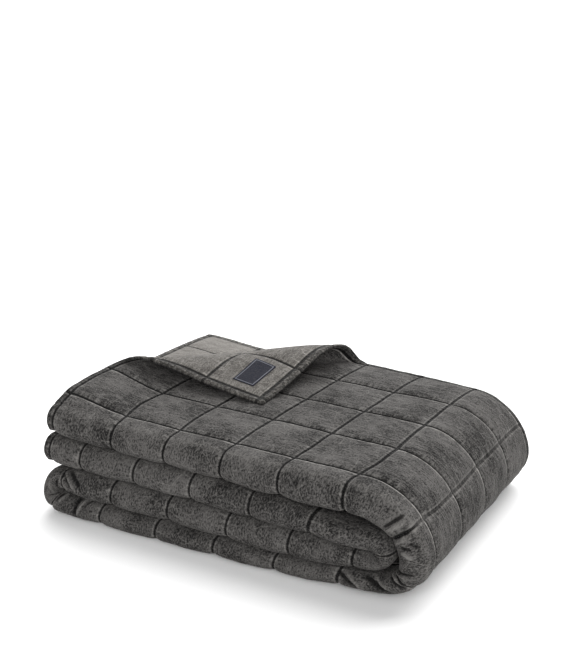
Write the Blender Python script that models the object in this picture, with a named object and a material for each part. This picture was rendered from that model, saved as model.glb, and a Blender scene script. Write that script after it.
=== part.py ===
"""A quilted bedspread folded in quarters both ways, with its top corner turned back.

One sheet, 1.80 m wide and 2.585 m long, is folded across its width into a strip of
four layers, and the strip is then folded along its length into four runs. The back
left corner of the top layer is rolled over towards the front, so that the reverse
of the cloth and the woven label sewn on it show.

Cloth coordinates: s runs along the length from the left end of the top run, t runs
across the width from the back edge of the top layer, and n goes through the cloth,
positive on its face. Space: metres, +Z up, X along the folded pile and Y towards
its back.
"""

import math
from typing import NamedTuple

import bpy
import numpy as np
from mathutils.geometry import delaunay_2d_cdt

# The cloth
LENGTH = 2.585
WIDTH = 1.80
CELL = 0.100
HEM = 0.012
THICKNESS = 0.0092
HEM_THICKNESS = 0.0060
PITCH = 0.0105
LAYERS = 4

# The folded pile: x = 0 and y = 0 are the first seams in from its left and front
TOP_RUN_HEIGHT = 0.1408
FRONT_BEND_Y = -0.024
BACK_BEND_Y = 0.406
INNER_BEND_Y = -0.016
BACK_EDGE_Y = 4 * CELL + HEM
PILE_HEIGHT = 0.162
INNER_SLIP = 0.012
SLIP_RANGE = (0.9, 1.3)

# How the pile gives: it droops front and back, most at the back right
EDGE_DROOP = 0.04
CORNER_DROOP = 0.06
CORNER_DROOP_X = (0.30, 0.60)
PILE_MIDDLE_Y = 0.19
PILE_HALF_DEPTH = 0.235
FURTHEST_OFF = 1.1
# Its lower runs stand out at the front left
FRONT_CREEP = 0.022
CREEP_LENGTH = 0.48
# Its right end reaches further at the front than at the back
RIGHT_REACH = 0.012
REACH_X = (0.40, 0.60)
REACH_SKEW = 2.0
# Its top left end lifts, and the hem of its top layer curls up
LEFT_LIFT = 0.008
LIFT_LEVEL = (0.6, 0.9)
HEM_CURL = 0.0158
HEM_CURL_WIDTH = 0.072
CURL_RISE_Y = (-0.04, 0.03)
CURL_FALL_Y = (0.12, 0.25)
CURL_FALL = 0.5
# The left ends of its lower runs are tucked in
LEFT_TUCK = 0.0095
TUCK_X = (-0.03, 0.12)
TUCK_LEVEL = (0.25, 0.75)
# At the front right its underside lifts, and its inner runs sink
UNDER_LIFT = 0.007
UNDER_LIFT_X = (0.40, 0.60)
UNDER_LIFT_LEVEL = 0.5
SINK = 0.0055
SINK_X = (0.20, 0.42)
SINK_END_X = (0.46, 0.62)
SINK_LEVEL = (0.25, 0.65)
FRONT_RIGHT_Y = (-0.38, 0.0)

# The corner that is turned back: its crest line, square to this direction
CREST_ANGLE = 45.7
CREST_OFFSET = 0.0875
# The crest is lower at its left end and higher at its back end
CREST_SHARE = (0.80, 1.42)
CREST_REACH = (0.06, 0.51)

# The label, on the reverse of the corner
LABEL_S = (0.028, 0.093)
LABEL_T = (0.036, 0.074)
LABEL_THICKNESS = 0.0008
CLEARANCE = 0.0007


class Bend(NamedTuple):
    """One stretch of the folded strip, seen from the front."""

    name: str
    path: float  # length of the strip's middle line
    turn: float  # degrees, positive when it turns anticlockwise
    pitch: float  # distance between layers at the stretch's end
    ease: float  # extra cloth gathered into the stretch


class Stretch(NamedTuple):
    """One stretch of a bent line."""

    name: str
    length: float
    turn: float  # degrees, positive when it turns anticlockwise


def arc_length(radius, degrees):
    """Length of an arc of the given radius."""
    return radius * math.radians(degrees)


STRIP = (
    Bend("top run", 0.512, 0, 0.0106, 0),
    Bend("outer wrap, upper half", arc_length(0.0800, 90), -90, 0.0098, 0),
    Bend("outer wrap, lower half", arc_length(0.0443, 90), -90, 0.0085, 0.005),
    Bend("bottom run", 0.452, 0, 0.0085, 0),
    Bend("bottom run, thinning", 0.075, 0, 0.0078, 0),
    Bend("left bend", arc_length(0.0190, 180), -180, 0.0078, 0.003),
    Bend("third run, thickening", 0.060, 0, 0.0105, 0),
    Bend("third run", 0.375, 0, 0.0105, 0.004),
    Bend("third run, thinning", 0.080, 0, 0.0075, 0),
    Bend("inner bend", arc_length(0.0165, 180), 180, 0.0075, 0.013),
    Bend("second run, rising", 0.080, -7, 0.0085, 0),
    Bend("second run, settling", 0.080, 7, 0.0106, 0),
    Bend("second run", 0.400, 0, 0.0106, 0.006),
)

# Across the strip: y along the layer and height within the strip
FRONT_RADIUS = 1.5 * PITCH
INNER_RADIUS = 0.5 * PITCH
SECTION = (
    Stretch("layer 1", BACK_EDGE_Y - FRONT_BEND_Y, 0),
    Stretch("front bend", arc_length(FRONT_RADIUS, 180), 180),
    Stretch("layer 4", BACK_BEND_Y - FRONT_BEND_Y, 0),
    Stretch("back bend", arc_length(INNER_RADIUS, 180), 180),
    Stretch("layer 3", BACK_BEND_Y - INNER_BEND_Y, 0),
    Stretch("inner front bend", arc_length(INNER_RADIUS, 180), -180),
    Stretch("layer 2", 0.430, 0),
)

# Square to the crest, from the lying cloth to the corner's tip
CORNER = (
    Stretch("crest, lower half", arc_length(0.0100, 79), 79),
    Stretch("crest, upper half", arc_length(0.0158, 77), 77),
    Stretch("over the crest", 0.076, 40.5),
    Stretch("down to the pile", 0.175, -14),
)

# Lines of the cloth's mesh within each stretch
STRIP_STEPS = (6, 7, 6, 6, 2, 8, 2, 5, 2, 8, 2, 2, 5)
SECTION_STEPS = (4, 7, 5, 4, 5, 4, 4)
CORNER_STEPS = (4, 5, 4, 5)
CORNER_SPACING = 0.055
SHARP_ANGLE = 50.0

FACE_COLOUR = (0.125, 0.119, 0.114, 1.0)
LABEL_COLOUR = (0.030, 0.037, 0.075, 1.0)


def clear_scene():
    """Remove every object, so that only this model is left."""
    for item in list(bpy.data.objects):
        bpy.data.objects.remove(item, do_unlink=True)


def smooth_step(value, start, end):
    """Rise from 0 at start to 1 at end, level at both."""
    share = np.clip((value - start) / (end - start), 0.0, 1.0)
    return share * share * (3.0 - 2.0 * share)


def line_nodes(lengths, turns, start, heading):
    """Where each stretch of a bent line starts, and its heading there."""
    points = [np.array(start, dtype=float)]
    headings = [math.radians(heading)]
    for length, turn in zip(lengths, turns):
        angle = headings[-1]
        bend = math.radians(turn)
        half = bend / 2
        chord = length if abs(bend) < 1e-9 else length * math.sin(half) / half
        step = np.array([math.cos(angle + half), math.sin(angle + half)])
        points.append(points[-1] + chord * step)
        headings.append(angle + bend)
    return np.array(points), np.array(headings)


def bent_line(distance, feed, lengths, turns, start, heading):
    """Point and heading on a line of straight stretches and arcs.

    feed is how much cloth each stretch takes up; lengths is how long each one is.
    """
    nodes, headings = line_nodes(lengths, turns, start, heading)
    knots = np.concatenate([[0.0], np.cumsum(feed)])
    index = np.clip(np.searchsorted(knots, distance, side="right") - 1, 0, len(feed) - 1)
    share = (distance - knots[index]) / np.asarray(feed)[index]
    bend = np.radians(np.asarray(turns, dtype=float))[index] * share
    chord = np.asarray(lengths)[index] * share * np.sinc(bend / 2 / math.pi)
    towards = headings[index] + bend / 2
    step = np.stack([np.cos(towards), np.sin(towards)], axis=-1)
    return nodes[index] + chord[..., None] * step, headings[index] + bend


def strip_feed():
    """Cloth that each stretch of the strip takes up, on its outer face."""
    feed = []
    for bend in STRIP:
        half_thickness = (LAYERS * bend.pitch - (PITCH - THICKNESS)) / 2
        feed.append(bend.path + abs(math.radians(bend.turn)) * half_thickness + bend.ease)
    return feed


def strip_pitch(s, feed):
    """Distance between layers along the strip."""
    knots = np.concatenate([[0.0], np.cumsum(feed)])
    values = [STRIP[0].pitch] + [bend.pitch for bend in STRIP]
    return np.interp(s, knots, values)


def crest_axes():
    """Cosine and sine of the direction in which the corner would lie flat."""
    angle = math.radians(CREST_ANGLE)
    return math.cos(angle), math.sin(angle)


def roll_corner(x, y, rise):
    """Turn back what lies beyond the crest line of the top layer's corner.

    rise is the height above the lying layer's middle. Gives x, y and height again.
    """
    lengths = [stretch.length for stretch in CORNER]
    turns = [stretch.turn for stretch in CORNER]
    cosine, sine = crest_axes()
    beyond = y * sine - x * cosine - CREST_OFFSET
    aside = y * cosine + x * sine
    point, angle = bent_line(np.maximum(beyond, 0.0), lengths, lengths, turns, (0.0, 0.0), 0.0)
    share = np.interp(aside, CREST_REACH, CREST_SHARE)
    across = np.where(beyond > 0, point[..., 0] - rise * np.sin(angle), beyond) + CREST_OFFSET
    height = np.where(beyond > 0, share * point[..., 1] + rise * np.cos(angle), rise)
    return aside * sine - across * cosine, aside * cosine + across * sine, height


def across_strip(t, n):
    """Y of a point of the cloth, and its height above the strip's middle."""
    lengths = [stretch.length for stretch in SECTION]
    turns = [stretch.turn for stretch in SECTION]
    point, angle = bent_line(t, lengths, lengths, turns, (BACK_EDGE_Y, FRONT_RADIUS), 180.0)
    return point[..., 0] + n * np.sin(angle), point[..., 1] - n * np.cos(angle)


def fold(s, t, n):
    """Where a point of the cloth lies in the folded pile."""
    y, above_middle = across_strip(t, n)
    feed = strip_feed()
    along = s - INNER_SLIP * smooth_step(t, *SLIP_RANGE)
    squeeze = strip_pitch(along, feed) / PITCH
    paths = [bend.path for bend in STRIP]
    turns = [bend.turn for bend in STRIP]
    middle, heading = bent_line(along, feed, paths, turns, (-HEM, TOP_RUN_HEIGHT), 0.0)
    x = middle[..., 0] - above_middle * squeeze * np.sin(heading)
    z = middle[..., 1] + above_middle * squeeze * np.cos(heading)

    on_top = (s < STRIP[0].path) & (t < SECTION[0].length)
    lying = TOP_RUN_HEIGHT + FRONT_RADIUS * squeeze
    turned_x, turned_y, turned_rise = roll_corner(x, y, z - lying)
    x = np.where(on_top, turned_x, x)
    y = np.where(on_top, turned_y, y)
    z = np.where(on_top, lying + turned_rise, z)
    return give(x, y, z, on_top)


def give(x, y, z, on_top):
    """Let the folded pile sag, creep and curl a little, as soft cloth does."""
    level = np.clip(z / PILE_HEIGHT, 0.0, 1.0)
    off_middle = np.clip(np.abs(y - PILE_MIDDLE_Y) / PILE_HALF_DEPTH, 0.0, FURTHEST_OFF)
    back_right = smooth_step(x, *CORNER_DROOP_X) * smooth_step(y, PILE_MIDDLE_Y, BACK_EDGE_Y)
    droop = (EDGE_DROOP + CORNER_DROOP * back_right) * off_middle**4

    near_hem = np.exp(-(((x + HEM) / HEM_CURL_WIDTH) ** 2))
    curl = HEM_CURL * smooth_step(y, *CURL_RISE_Y) * (1.0 - CURL_FALL * smooth_step(y, *CURL_FALL_Y))
    lift = (LEFT_LIFT * smooth_step(level, *LIFT_LEVEL) + np.where(on_top, curl, 0.0)) * near_hem

    creep = FRONT_CREEP * (1.0 - (x / CREEP_LENGTH) ** 2) * (1.0 - level)
    skew = 1.0 - REACH_SKEW * np.clip(y / BACK_EDGE_Y, -0.1, 1.0)
    reach = RIGHT_REACH * smooth_step(x, *REACH_X) * skew
    tuck = LEFT_TUCK * (1.0 - smooth_step(x, *TUCK_X)) * (1.0 - smooth_step(level, *TUCK_LEVEL))

    to_front = smooth_step(-y, *FRONT_RIGHT_Y)
    under = UNDER_LIFT * smooth_step(x, *UNDER_LIFT_X) * (1.0 - smooth_step(level, 0.0, UNDER_LIFT_LEVEL))
    inner = smooth_step(level, 0.0, SINK_LEVEL[0]) * (1.0 - smooth_step(level, SINK_LEVEL[1], 1.0))
    sink = SINK * inner * smooth_step(x, *SINK_X) * (1.0 - smooth_step(x, *SINK_END_X))
    height = z * (1.0 - droop) + lift + (under - sink) * to_front
    return np.stack([x + reach + tuck, y - creep, height], axis=-1)


def mesh_lines(feed, steps, size):
    """Cloth distances at which the mesh has a line, from edge to edge."""
    lines = [0.0]
    for length, count in zip(feed, steps):
        start = lines[-1]
        lines.extend(start + length * (step + 1) / count for step in range(count))
    inner = [line for line in lines if HEM < line < size - HEM]
    return [0.0, HEM] + inner + [size - HEM, size]


def beyond_crest(s, t):
    """Distance past the line where the corner starts to lift, on the flat cloth."""
    cosine, sine = crest_axes()
    return (BACK_EDGE_Y - t) * sine - (s - HEM) * cosine - CREST_OFFSET


def corner_points():
    """Mesh points of the corner, in rows parallel to its crest."""
    cosine, sine = crest_axes()
    points = []
    rows = []
    distances = [0.0]
    for stretch, steps in zip(CORNER, CORNER_STEPS):
        start = distances[-1]
        distances.extend(start + stretch.length * (step + 1) / steps for step in range(steps))
    for distance in distances:
        reach = distance + CREST_OFFSET
        depth = BACK_EDGE_Y - (reach - HEM * cosine) / sine
        width = (BACK_EDGE_Y * sine - reach) / cosine + HEM
        if min(depth, width) <= HEM:
            continue
        count = max(1, round(math.hypot(depth, width) / CORNER_SPACING))
        first = len(points)
        points.extend((width * step / count, depth * (1 - step / count)) for step in range(count + 1))
        rows.append((first, first + count))
    points.append((0.0, 0.0))
    return points, rows


def flat_triangles():
    """Triangulate the flat cloth: a lattice, with rows along the corner's crest."""
    feed = strip_feed()
    s_lines = mesh_lines(feed, STRIP_STEPS, LENGTH)
    t_lines = mesh_lines([stretch.length for stretch in SECTION], SECTION_STEPS, WIDTH)
    corner, rows = corner_points()
    points = list(corner)
    edges = []
    for first, last in rows:
        edges.extend((index, index + 1) for index in range(first, last))
    clear = -0.3 * CORNER_SPACING
    points.extend((s, t) for s in s_lines for t in t_lines if beyond_crest(s, t) < clear)
    vertices, _, faces, *_ = delaunay_2d_cdt(points, edges, [], 0, 1e-7, False)
    return [tuple(vertex) for vertex in vertices], [tuple(face) for face in faces]


def on_edge(s, t):
    """Whether a point of the flat cloth is on its outer edge."""
    slack = 1e-6
    return s < slack or t < slack or s > LENGTH - slack or t > WIDTH - slack


def half_thickness(s, t):
    """Half the cloth's thickness, thinner along its hem."""
    return (HEM_THICKNESS if on_edge(s, t) else THICKNESS) / 2


def close_sheet(flat, faces, halves, raised):
    """Vertices and faces of a closed sheet around a flat triangulation.

    halves holds half the thickness at each flat point, and raised the distance of
    the sheet's middle from the cloth's middle.
    """
    count = len(flat)
    s = np.array([point[0] for point in flat])
    t = np.array([point[1] for point in flat])
    upper = fold(s, t, raised + halves)
    lower = fold(s, t, raised - halves)
    vertices = np.concatenate([upper, lower])
    sides = [side for face in faces for side in zip(face, face[1:] + face[:1])]
    shared = set(sides)
    rim = [(start, end) for start, end in sides if (end, start) not in shared]
    solid = [tuple(reversed(face)) for face in faces]
    solid += [tuple(index + count for index in face) for face in faces]
    solid += [(start, end, end + count, start + count) for start, end in rim]
    return vertices, solid


def make_material(name, colour, roughness):
    """A plain Principled material."""
    material = bpy.data.materials.new(name)
    material.use_nodes = True
    shader = material.node_tree.nodes["Principled BSDF"]
    shader.inputs["Base Color"].default_value = colour
    shader.inputs["Roughness"].default_value = roughness
    shader.inputs["Metallic"].default_value = 0.0
    return material


def add_object(name, vertices, faces, material):
    """Add one smoothly shaded mesh object at the origin."""
    mesh = bpy.data.meshes.new(name)
    mesh.from_pydata([tuple(vertex) for vertex in vertices], [], faces)
    mesh.materials.append(material)
    mesh.shade_smooth()
    mesh.set_sharp_from_angle(angle=math.radians(SHARP_ANGLE))
    item = bpy.data.objects.new(name, mesh)
    bpy.context.scene.collection.objects.link(item)
    return item


def spread_solid():
    """The bedspread: one closed sheet, hem included."""
    flat, faces = flat_triangles()
    halves = np.array([half_thickness(s, t) for s, t in flat])
    return close_sheet(flat, faces, halves, 0.0)


def label_solid():
    """The woven label, just clear of the reverse of the cloth."""
    columns, rows = 4, 3
    s_lines = np.linspace(*LABEL_S, columns + 1)
    t_lines = np.linspace(*LABEL_T, rows + 1)
    flat = [(s, t) for s in s_lines for t in t_lines]
    faces = []
    for column in range(columns):
        for row in range(rows):
            first = column * (rows + 1) + row
            faces.append((first, first + rows + 1, first + rows + 2, first + 1))
    raised = -(THICKNESS / 2 + CLEARANCE + LABEL_THICKNESS / 2)
    return close_sheet(flat, faces, np.full(len(flat), LABEL_THICKNESS / 2), raised)


def main():
    """Build the bedspread and its label."""
    clear_scene()
    vertices, faces = spread_solid()
    low, high = vertices.min(axis=0), vertices.max(axis=0)
    origin = np.array([(low[0] + high[0]) / 2, (low[1] + high[1]) / 2, low[2]])
    add_object("bedspread", vertices - origin, faces, make_material("velvet", FACE_COLOUR, 0.9))
    label_vertices, label_faces = label_solid()
    add_object("label", label_vertices - origin, label_faces, make_material("label", LABEL_COLOUR, 0.7))


if __name__ == "__main__":
    main()
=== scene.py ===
"""A washed velvet bedspread, quilted in squares and folded into a pile.

One sheet, 1.80 m wide and 2.585 m long, is folded across its width into a strip of four
layers, and the strip is folded along its length into four runs. The back left corner
of the top layer is turned over, so that its cotton reverse and its woven label show.

Cloth coordinates: s runs along the length from the left end of the top run, t runs
across the width from the back edge of the top layer, and n goes through the cloth,
positive on its velvet face. Space: metres, +Z up, X along the pile, Y towards its back.
"""

import sys

import logging
import math
from dataclasses import dataclass, field
from enum import Enum
from typing import NamedTuple, Sequence

import bpy
import numpy as np
from mathutils import Euler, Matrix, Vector


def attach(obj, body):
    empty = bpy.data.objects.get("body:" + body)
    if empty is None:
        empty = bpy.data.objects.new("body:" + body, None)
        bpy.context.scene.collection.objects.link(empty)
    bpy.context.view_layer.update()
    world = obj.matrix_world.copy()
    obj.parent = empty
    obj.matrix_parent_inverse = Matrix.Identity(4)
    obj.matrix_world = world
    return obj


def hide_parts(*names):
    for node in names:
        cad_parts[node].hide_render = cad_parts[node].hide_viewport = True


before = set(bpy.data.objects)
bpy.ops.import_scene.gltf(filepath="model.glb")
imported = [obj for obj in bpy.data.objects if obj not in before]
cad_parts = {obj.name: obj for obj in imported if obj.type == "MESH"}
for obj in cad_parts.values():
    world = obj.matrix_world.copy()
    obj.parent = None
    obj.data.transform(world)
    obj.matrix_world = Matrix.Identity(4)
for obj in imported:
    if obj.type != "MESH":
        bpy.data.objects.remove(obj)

LOG = logging.getLogger("bedspread")
CLOTH_MAP = "cloth"  # map that holds s and t
CREASE_DEPTH = "crease"  # attribute that holds how far creases push out, in millimetres
OUTWARDS = "outwards"  # attribute that holds the cloth's outward direction
MILLIMETRES = 1000.0
GRID = 256  # points to a side before a random field repeats

Array = np.ndarray
Colour = tuple[float, float, float]
Range = tuple[float, float]
Node = bpy.types.Node
Socket = bpy.types.NodeSocket
Tree = bpy.types.NodeTree


class Side(Enum):
    """The two sides of the cloth."""

    FACE = 1
    REVERSE = -1


class Unevenness(Enum):
    """The random fields over the cloth, each with its seed."""

    STRAY_ALONG = 1
    STRAY_ACROSS = 2
    CROWN = 3
    FILL = 4
    GATHER_ALONG = 5
    GATHER_ACROSS = 6
    RIPPLE = 7
    HEM = 8


class Bend(NamedTuple):
    """One stretch of the folded strip, seen from the front."""

    name: str
    path: float  # length of the strip's middle line
    turn: float  # degrees, positive when it turns anticlockwise
    pitch: float  # distance between layers at the stretch's end
    ease: float  # extra cloth gathered into the stretch


class Stretch(NamedTuple):
    """One stretch of a bent line."""

    name: str
    length: float
    turn: float  # degrees, positive when it turns anticlockwise


class Span(NamedTuple):
    """Mesh spacing along the cloth up to a given distance."""

    end: float
    spacing: float


class RowZone(NamedTuple):
    """A zone of mesh rows: where it ends, how far apart they are, and their points."""

    end: float
    spacing: float
    along: tuple[Span, ...]


class Crease(NamedTuple):
    """A fold line pressed into the cloth, from one cloth point to another."""

    start: tuple[float, float]
    end: tuple[float, float]
    width: float
    depth: float  # positive outwards on the velvet face


def arc_length(radius: float, degrees: float) -> float:
    """Length of an arc of the given radius."""
    return radius * math.radians(degrees)


def smooth_step(value: Array, start: float, end: float) -> Array:
    """Rise from 0 at start to 1 at end, level at both.

    Args:
        value: Where to read the step.
        start: Value at which it leaves 0.
        end: Value at which it reaches 1.

    Returns:
        The step's height at each value.
    """
    share = np.clip((value - start) / (end - start), 0.0, 1.0)
    return share * share * (3.0 - 2.0 * share)


def smooth_fall(value: Array, start: float, end: float) -> Array:
    """Fall from 1 at start to 0 at end, level at both."""
    return smooth_step(-value, -end, -start)


class SmoothNoise:
    """A smooth random field over the cloth, the same on every run."""

    def __init__(self, field_name: Unevenness, size: float) -> None:
        """Draw the field's slopes.

        Args:
            field_name: The field wanted.
            size: Distance between its bumps, in metres.
        """
        grid = (GRID, GRID)
        angles = np.random.default_rng(field_name.value).uniform(0.0, 2.0 * math.pi, grid)
        self.slope_x, self.slope_y = np.cos(angles), np.sin(angles)
        self.size = size

    def at(self, x: Array, y: Array) -> Array:
        """The field's value, from about -1 to 1.

        Args:
            x: First coordinate, in metres.
            y: Second coordinate, in metres.

        Returns:
            One value for each pair of coordinates.
        """
        x, y = np.broadcast_arrays(np.asarray(x) / self.size + 31.7, np.asarray(y) / self.size + 17.3)
        column, row = np.floor(x).astype(int), np.floor(y).astype(int)
        u, v = x - column, y - row
        blend_u, blend_v = u * u * (3 - 2 * u), v * v * (3 - 2 * v)
        corners = []
        for right, up in ((0, 0), (1, 0), (0, 1), (1, 1)):
            index = ((column + right) % GRID, (row + up) % GRID)
            corners.append(self.slope_x[index] * (u - right) + self.slope_y[index] * (v - up))
        low = corners[0] + (corners[1] - corners[0]) * blend_u
        high = corners[2] + (corners[3] - corners[2]) * blend_u
        return 1.5 * (low + (high - low) * blend_v)


@dataclass(frozen=True)
class FoldedPile:
    """How the flat cloth is folded, in the same sizes as the solid model."""

    length: float = 2.585
    width: float = 1.80
    cell: float = 0.100
    hem: float = 0.012
    thickness: float = 0.0092
    layer_pitch: float = 0.0105
    layers: int = 4
    top_run_height: float = 0.1408
    pile_height: float = 0.162
    inner_slip: float = 0.012
    slip_range: Range = (0.9, 1.3)
    edge_droop: float = 0.04
    corner_droop: float = 0.06
    corner_droop_x: Range = (0.30, 0.60)
    middle_y: float = 0.19
    half_depth: float = 0.235
    furthest_off: float = 1.1
    front_creep: float = 0.022
    creep_length: float = 0.48
    right_reach: float = 0.012
    reach_x: Range = (0.40, 0.60)
    reach_skew: float = 2.0
    left_lift: float = 0.008
    lift_level: Range = (0.6, 0.9)
    hem_curl: float = 0.0158
    hem_curl_width: float = 0.072
    curl_rise_y: Range = (-0.04, 0.03)
    curl_fall_y: Range = (0.12, 0.25)
    curl_fall: float = 0.5
    left_tuck: float = 0.0095
    tuck_x: Range = (-0.03, 0.12)
    tuck_level: Range = (0.25, 0.75)
    under_lift: float = 0.007
    under_lift_x: Range = (0.40, 0.60)
    under_lift_level: float = 0.5
    sink: float = 0.0055
    sink_x: Range = (0.20, 0.42)
    sink_end_x: Range = (0.46, 0.62)
    sink_level: Range = (0.25, 0.65)
    front_right_y: Range = (-0.38, 0.0)
    crest_angle: float = 45.7
    crest_offset: float = 0.0875
    crest_share: Range = (0.80, 1.42)
    crest_reach: Range = (0.06, 0.51)
    base_centre: tuple[float, float, float] = (0.29420, 0.17904, 0.00002)
    strip: tuple[Bend, ...] = (
        Bend("top run", 0.512, 0, 0.0106, 0),
        Bend("outer wrap, upper half", arc_length(0.0800, 90), -90, 0.0098, 0),
        Bend("outer wrap, lower half", arc_length(0.0443, 90), -90, 0.0085, 0.005),
        Bend("bottom run", 0.452, 0, 0.0085, 0),
        Bend("bottom run, thinning", 0.075, 0, 0.0078, 0),
        Bend("left bend", arc_length(0.0190, 180), -180, 0.0078, 0.003),
        Bend("third run, thickening", 0.060, 0, 0.0105, 0),
        Bend("third run", 0.375, 0, 0.0105, 0.004),
        Bend("third run, thinning", 0.080, 0, 0.0075, 0),
        Bend("inner bend", arc_length(0.0165, 180), 180, 0.0075, 0.013),
        Bend("second run, rising", 0.080, -7, 0.0085, 0),
        Bend("second run, settling", 0.080, 7, 0.0106, 0),
        Bend("second run", 0.400, 0, 0.0106, 0.006),
    )
    section: tuple[Stretch, ...] = (
        Stretch("layer 1", 0.436, 0),
        Stretch("front bend", arc_length(0.01575, 180), 180),
        Stretch("layer 4", 0.430, 0),
        Stretch("back bend", arc_length(0.00525, 180), 180),
        Stretch("layer 3", 0.422, 0),
        Stretch("inner front bend", arc_length(0.00525, 180), -180),
        Stretch("layer 2", 0.430, 0),
    )
    corner: tuple[Stretch, ...] = (
        Stretch("crest, lower half", arc_length(0.0100, 79), 79),
        Stretch("crest, upper half", arc_length(0.0158, 77), 77),
        Stretch("over the crest", 0.076, 40.5),
        Stretch("down to the pile", 0.175, -14),
    )

    @property
    def back_edge_y(self) -> float:
        """Y of the top layer's back edge."""
        return 4 * self.cell + self.hem

    @property
    def front_radius(self) -> float:
        """Radius of the front bend, at the middle of its cloth."""
        return 1.5 * self.layer_pitch

    def edge_distance(self, s: Array, t: Array) -> Array:
        """Distance to the nearest edge of the flat cloth."""
        return np.minimum(np.minimum(s, self.length - s), np.minimum(t, self.width - t))

    def bent_line(
        self,
        distance: Array,
        feed: Sequence[float],
        lengths: Sequence[float],
        turns: Sequence[float],
        start: tuple[float, float],
        heading: float,
    ) -> tuple[Array, Array]:
        """Follow a line of straight stretches and arcs.

        Args:
            distance: How far along the cloth.
            feed: How much cloth each stretch takes up.
            lengths: How long each stretch is.
            turns: How far each one turns, in degrees.
            start: Where the line starts.
            heading: Its heading there, in degrees.

        Returns:
            The points on the line, and the heading at each one, in radians.
        """
        nodes = [np.array(start, dtype=float)]
        headings = [math.radians(heading)]
        for length, turn in zip(lengths, turns):
            half = math.radians(turn) / 2
            chord = length if abs(half) < 1e-9 else length * math.sin(half) / half
            towards = headings[-1] + half
            nodes.append(nodes[-1] + chord * np.array([math.cos(towards), math.sin(towards)]))
            headings.append(headings[-1] + 2 * half)
        knots = np.concatenate([[0.0], np.cumsum(feed)])
        index = np.clip(np.searchsorted(knots, distance, side="right") - 1, 0, len(feed) - 1)
        share = (distance - knots[index]) / np.asarray(feed)[index]
        bend = np.radians(np.asarray(turns, dtype=float))[index] * share
        chords = np.asarray(lengths)[index] * share * np.sinc(bend / 2 / math.pi)
        towards = np.array(headings)[index] + bend / 2
        step = np.stack([np.cos(towards), np.sin(towards)], axis=-1)
        return np.array(nodes)[index] + chords[..., None] * step, np.array(headings)[index] + bend

    def strip_feed(self) -> list[float]:
        """Find how much cloth each stretch of the strip takes up, on its outer face.

        Returns:
            One length for each stretch.
        """
        feed = []
        for bend in self.strip:
            half = (self.layers * bend.pitch - (self.layer_pitch - self.thickness)) / 2
            feed.append(bend.path + abs(math.radians(bend.turn)) * half + bend.ease)
        return feed

    def crest_axes(self) -> tuple[float, float]:
        """Cosine and sine of the direction in which the corner would lie flat."""
        angle = math.radians(self.crest_angle)
        return math.cos(angle), math.sin(angle)

    def beyond_crest(self, s: Array, t: Array) -> Array:
        """Distance past the line where the corner starts to lift."""
        cosine, sine = self.crest_axes()
        return (self.back_edge_y - t) * sine - (s - self.hem) * cosine - self.crest_offset

    def roll_corner(self, x: Array, y: Array, rise: Array) -> tuple[Array, Array, Array]:
        """Turn back what lies beyond the crest line of the top layer's corner.

        Args:
            x: X of the lying cloth.
            y: Y of the lying cloth.
            rise: Height above the lying layer's middle.

        Returns:
            X, Y and height above the lying layer's middle, once turned back.
        """
        lengths = [stretch.length for stretch in self.corner]
        turns = [stretch.turn for stretch in self.corner]
        cosine, sine = self.crest_axes()
        beyond = y * sine - x * cosine - self.crest_offset
        aside = y * cosine + x * sine
        point, angle = self.bent_line(np.maximum(beyond, 0.0), lengths, lengths, turns, (0.0, 0.0), 0.0)
        turned = beyond > 0
        share = np.interp(aside, self.crest_reach, self.crest_share)
        across = np.where(turned, point[..., 0] - rise * np.sin(angle), beyond) + self.crest_offset
        height = np.where(turned, share * point[..., 1] + rise * np.cos(angle), rise)
        return aside * sine - across * cosine, aside * cosine + across * sine, height

    def place(self, s: Array, t: Array, n: Array) -> Array:
        """Where points of the cloth lie in the folded pile.

        Args:
            s: Distance along the cloth's length.
            t: Distance across its width.
            n: Distance from its middle, positive on the face.

        Returns:
            One row of X, Y and Z for each point.
        """
        lengths = [stretch.length for stretch in self.section]
        turns = [stretch.turn for stretch in self.section]
        start = (self.back_edge_y, self.front_radius)
        point, angle = self.bent_line(t, lengths, lengths, turns, start, 180.0)
        y = point[..., 0] + n * np.sin(angle)
        above_middle = point[..., 1] - n * np.cos(angle)

        feed = self.strip_feed()
        along = s - self.inner_slip * smooth_step(t, *self.slip_range)
        pitches = [self.strip[0].pitch] + [bend.pitch for bend in self.strip]
        knots = np.concatenate([[0.0], np.cumsum(feed)])
        squeeze = np.interp(along, knots, pitches) / self.layer_pitch
        paths = [bend.path for bend in self.strip]
        turns = [bend.turn for bend in self.strip]
        middle, heading = self.bent_line(along, feed, paths, turns, (-self.hem, self.top_run_height), 0.0)
        x = middle[..., 0] - above_middle * squeeze * np.sin(heading)
        z = middle[..., 1] + above_middle * squeeze * np.cos(heading)

        on_top = (s < self.strip[0].path) & (t < self.section[0].length)
        lying = self.top_run_height + self.front_radius * squeeze
        turned_x, turned_y, turned_rise = self.roll_corner(x, y, z - lying)
        x = np.where(on_top, turned_x, x)
        y = np.where(on_top, turned_y, y)
        z = np.where(on_top, lying + turned_rise, z)
        return self.give(x, y, z, on_top) - np.array(self.base_centre)

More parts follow.
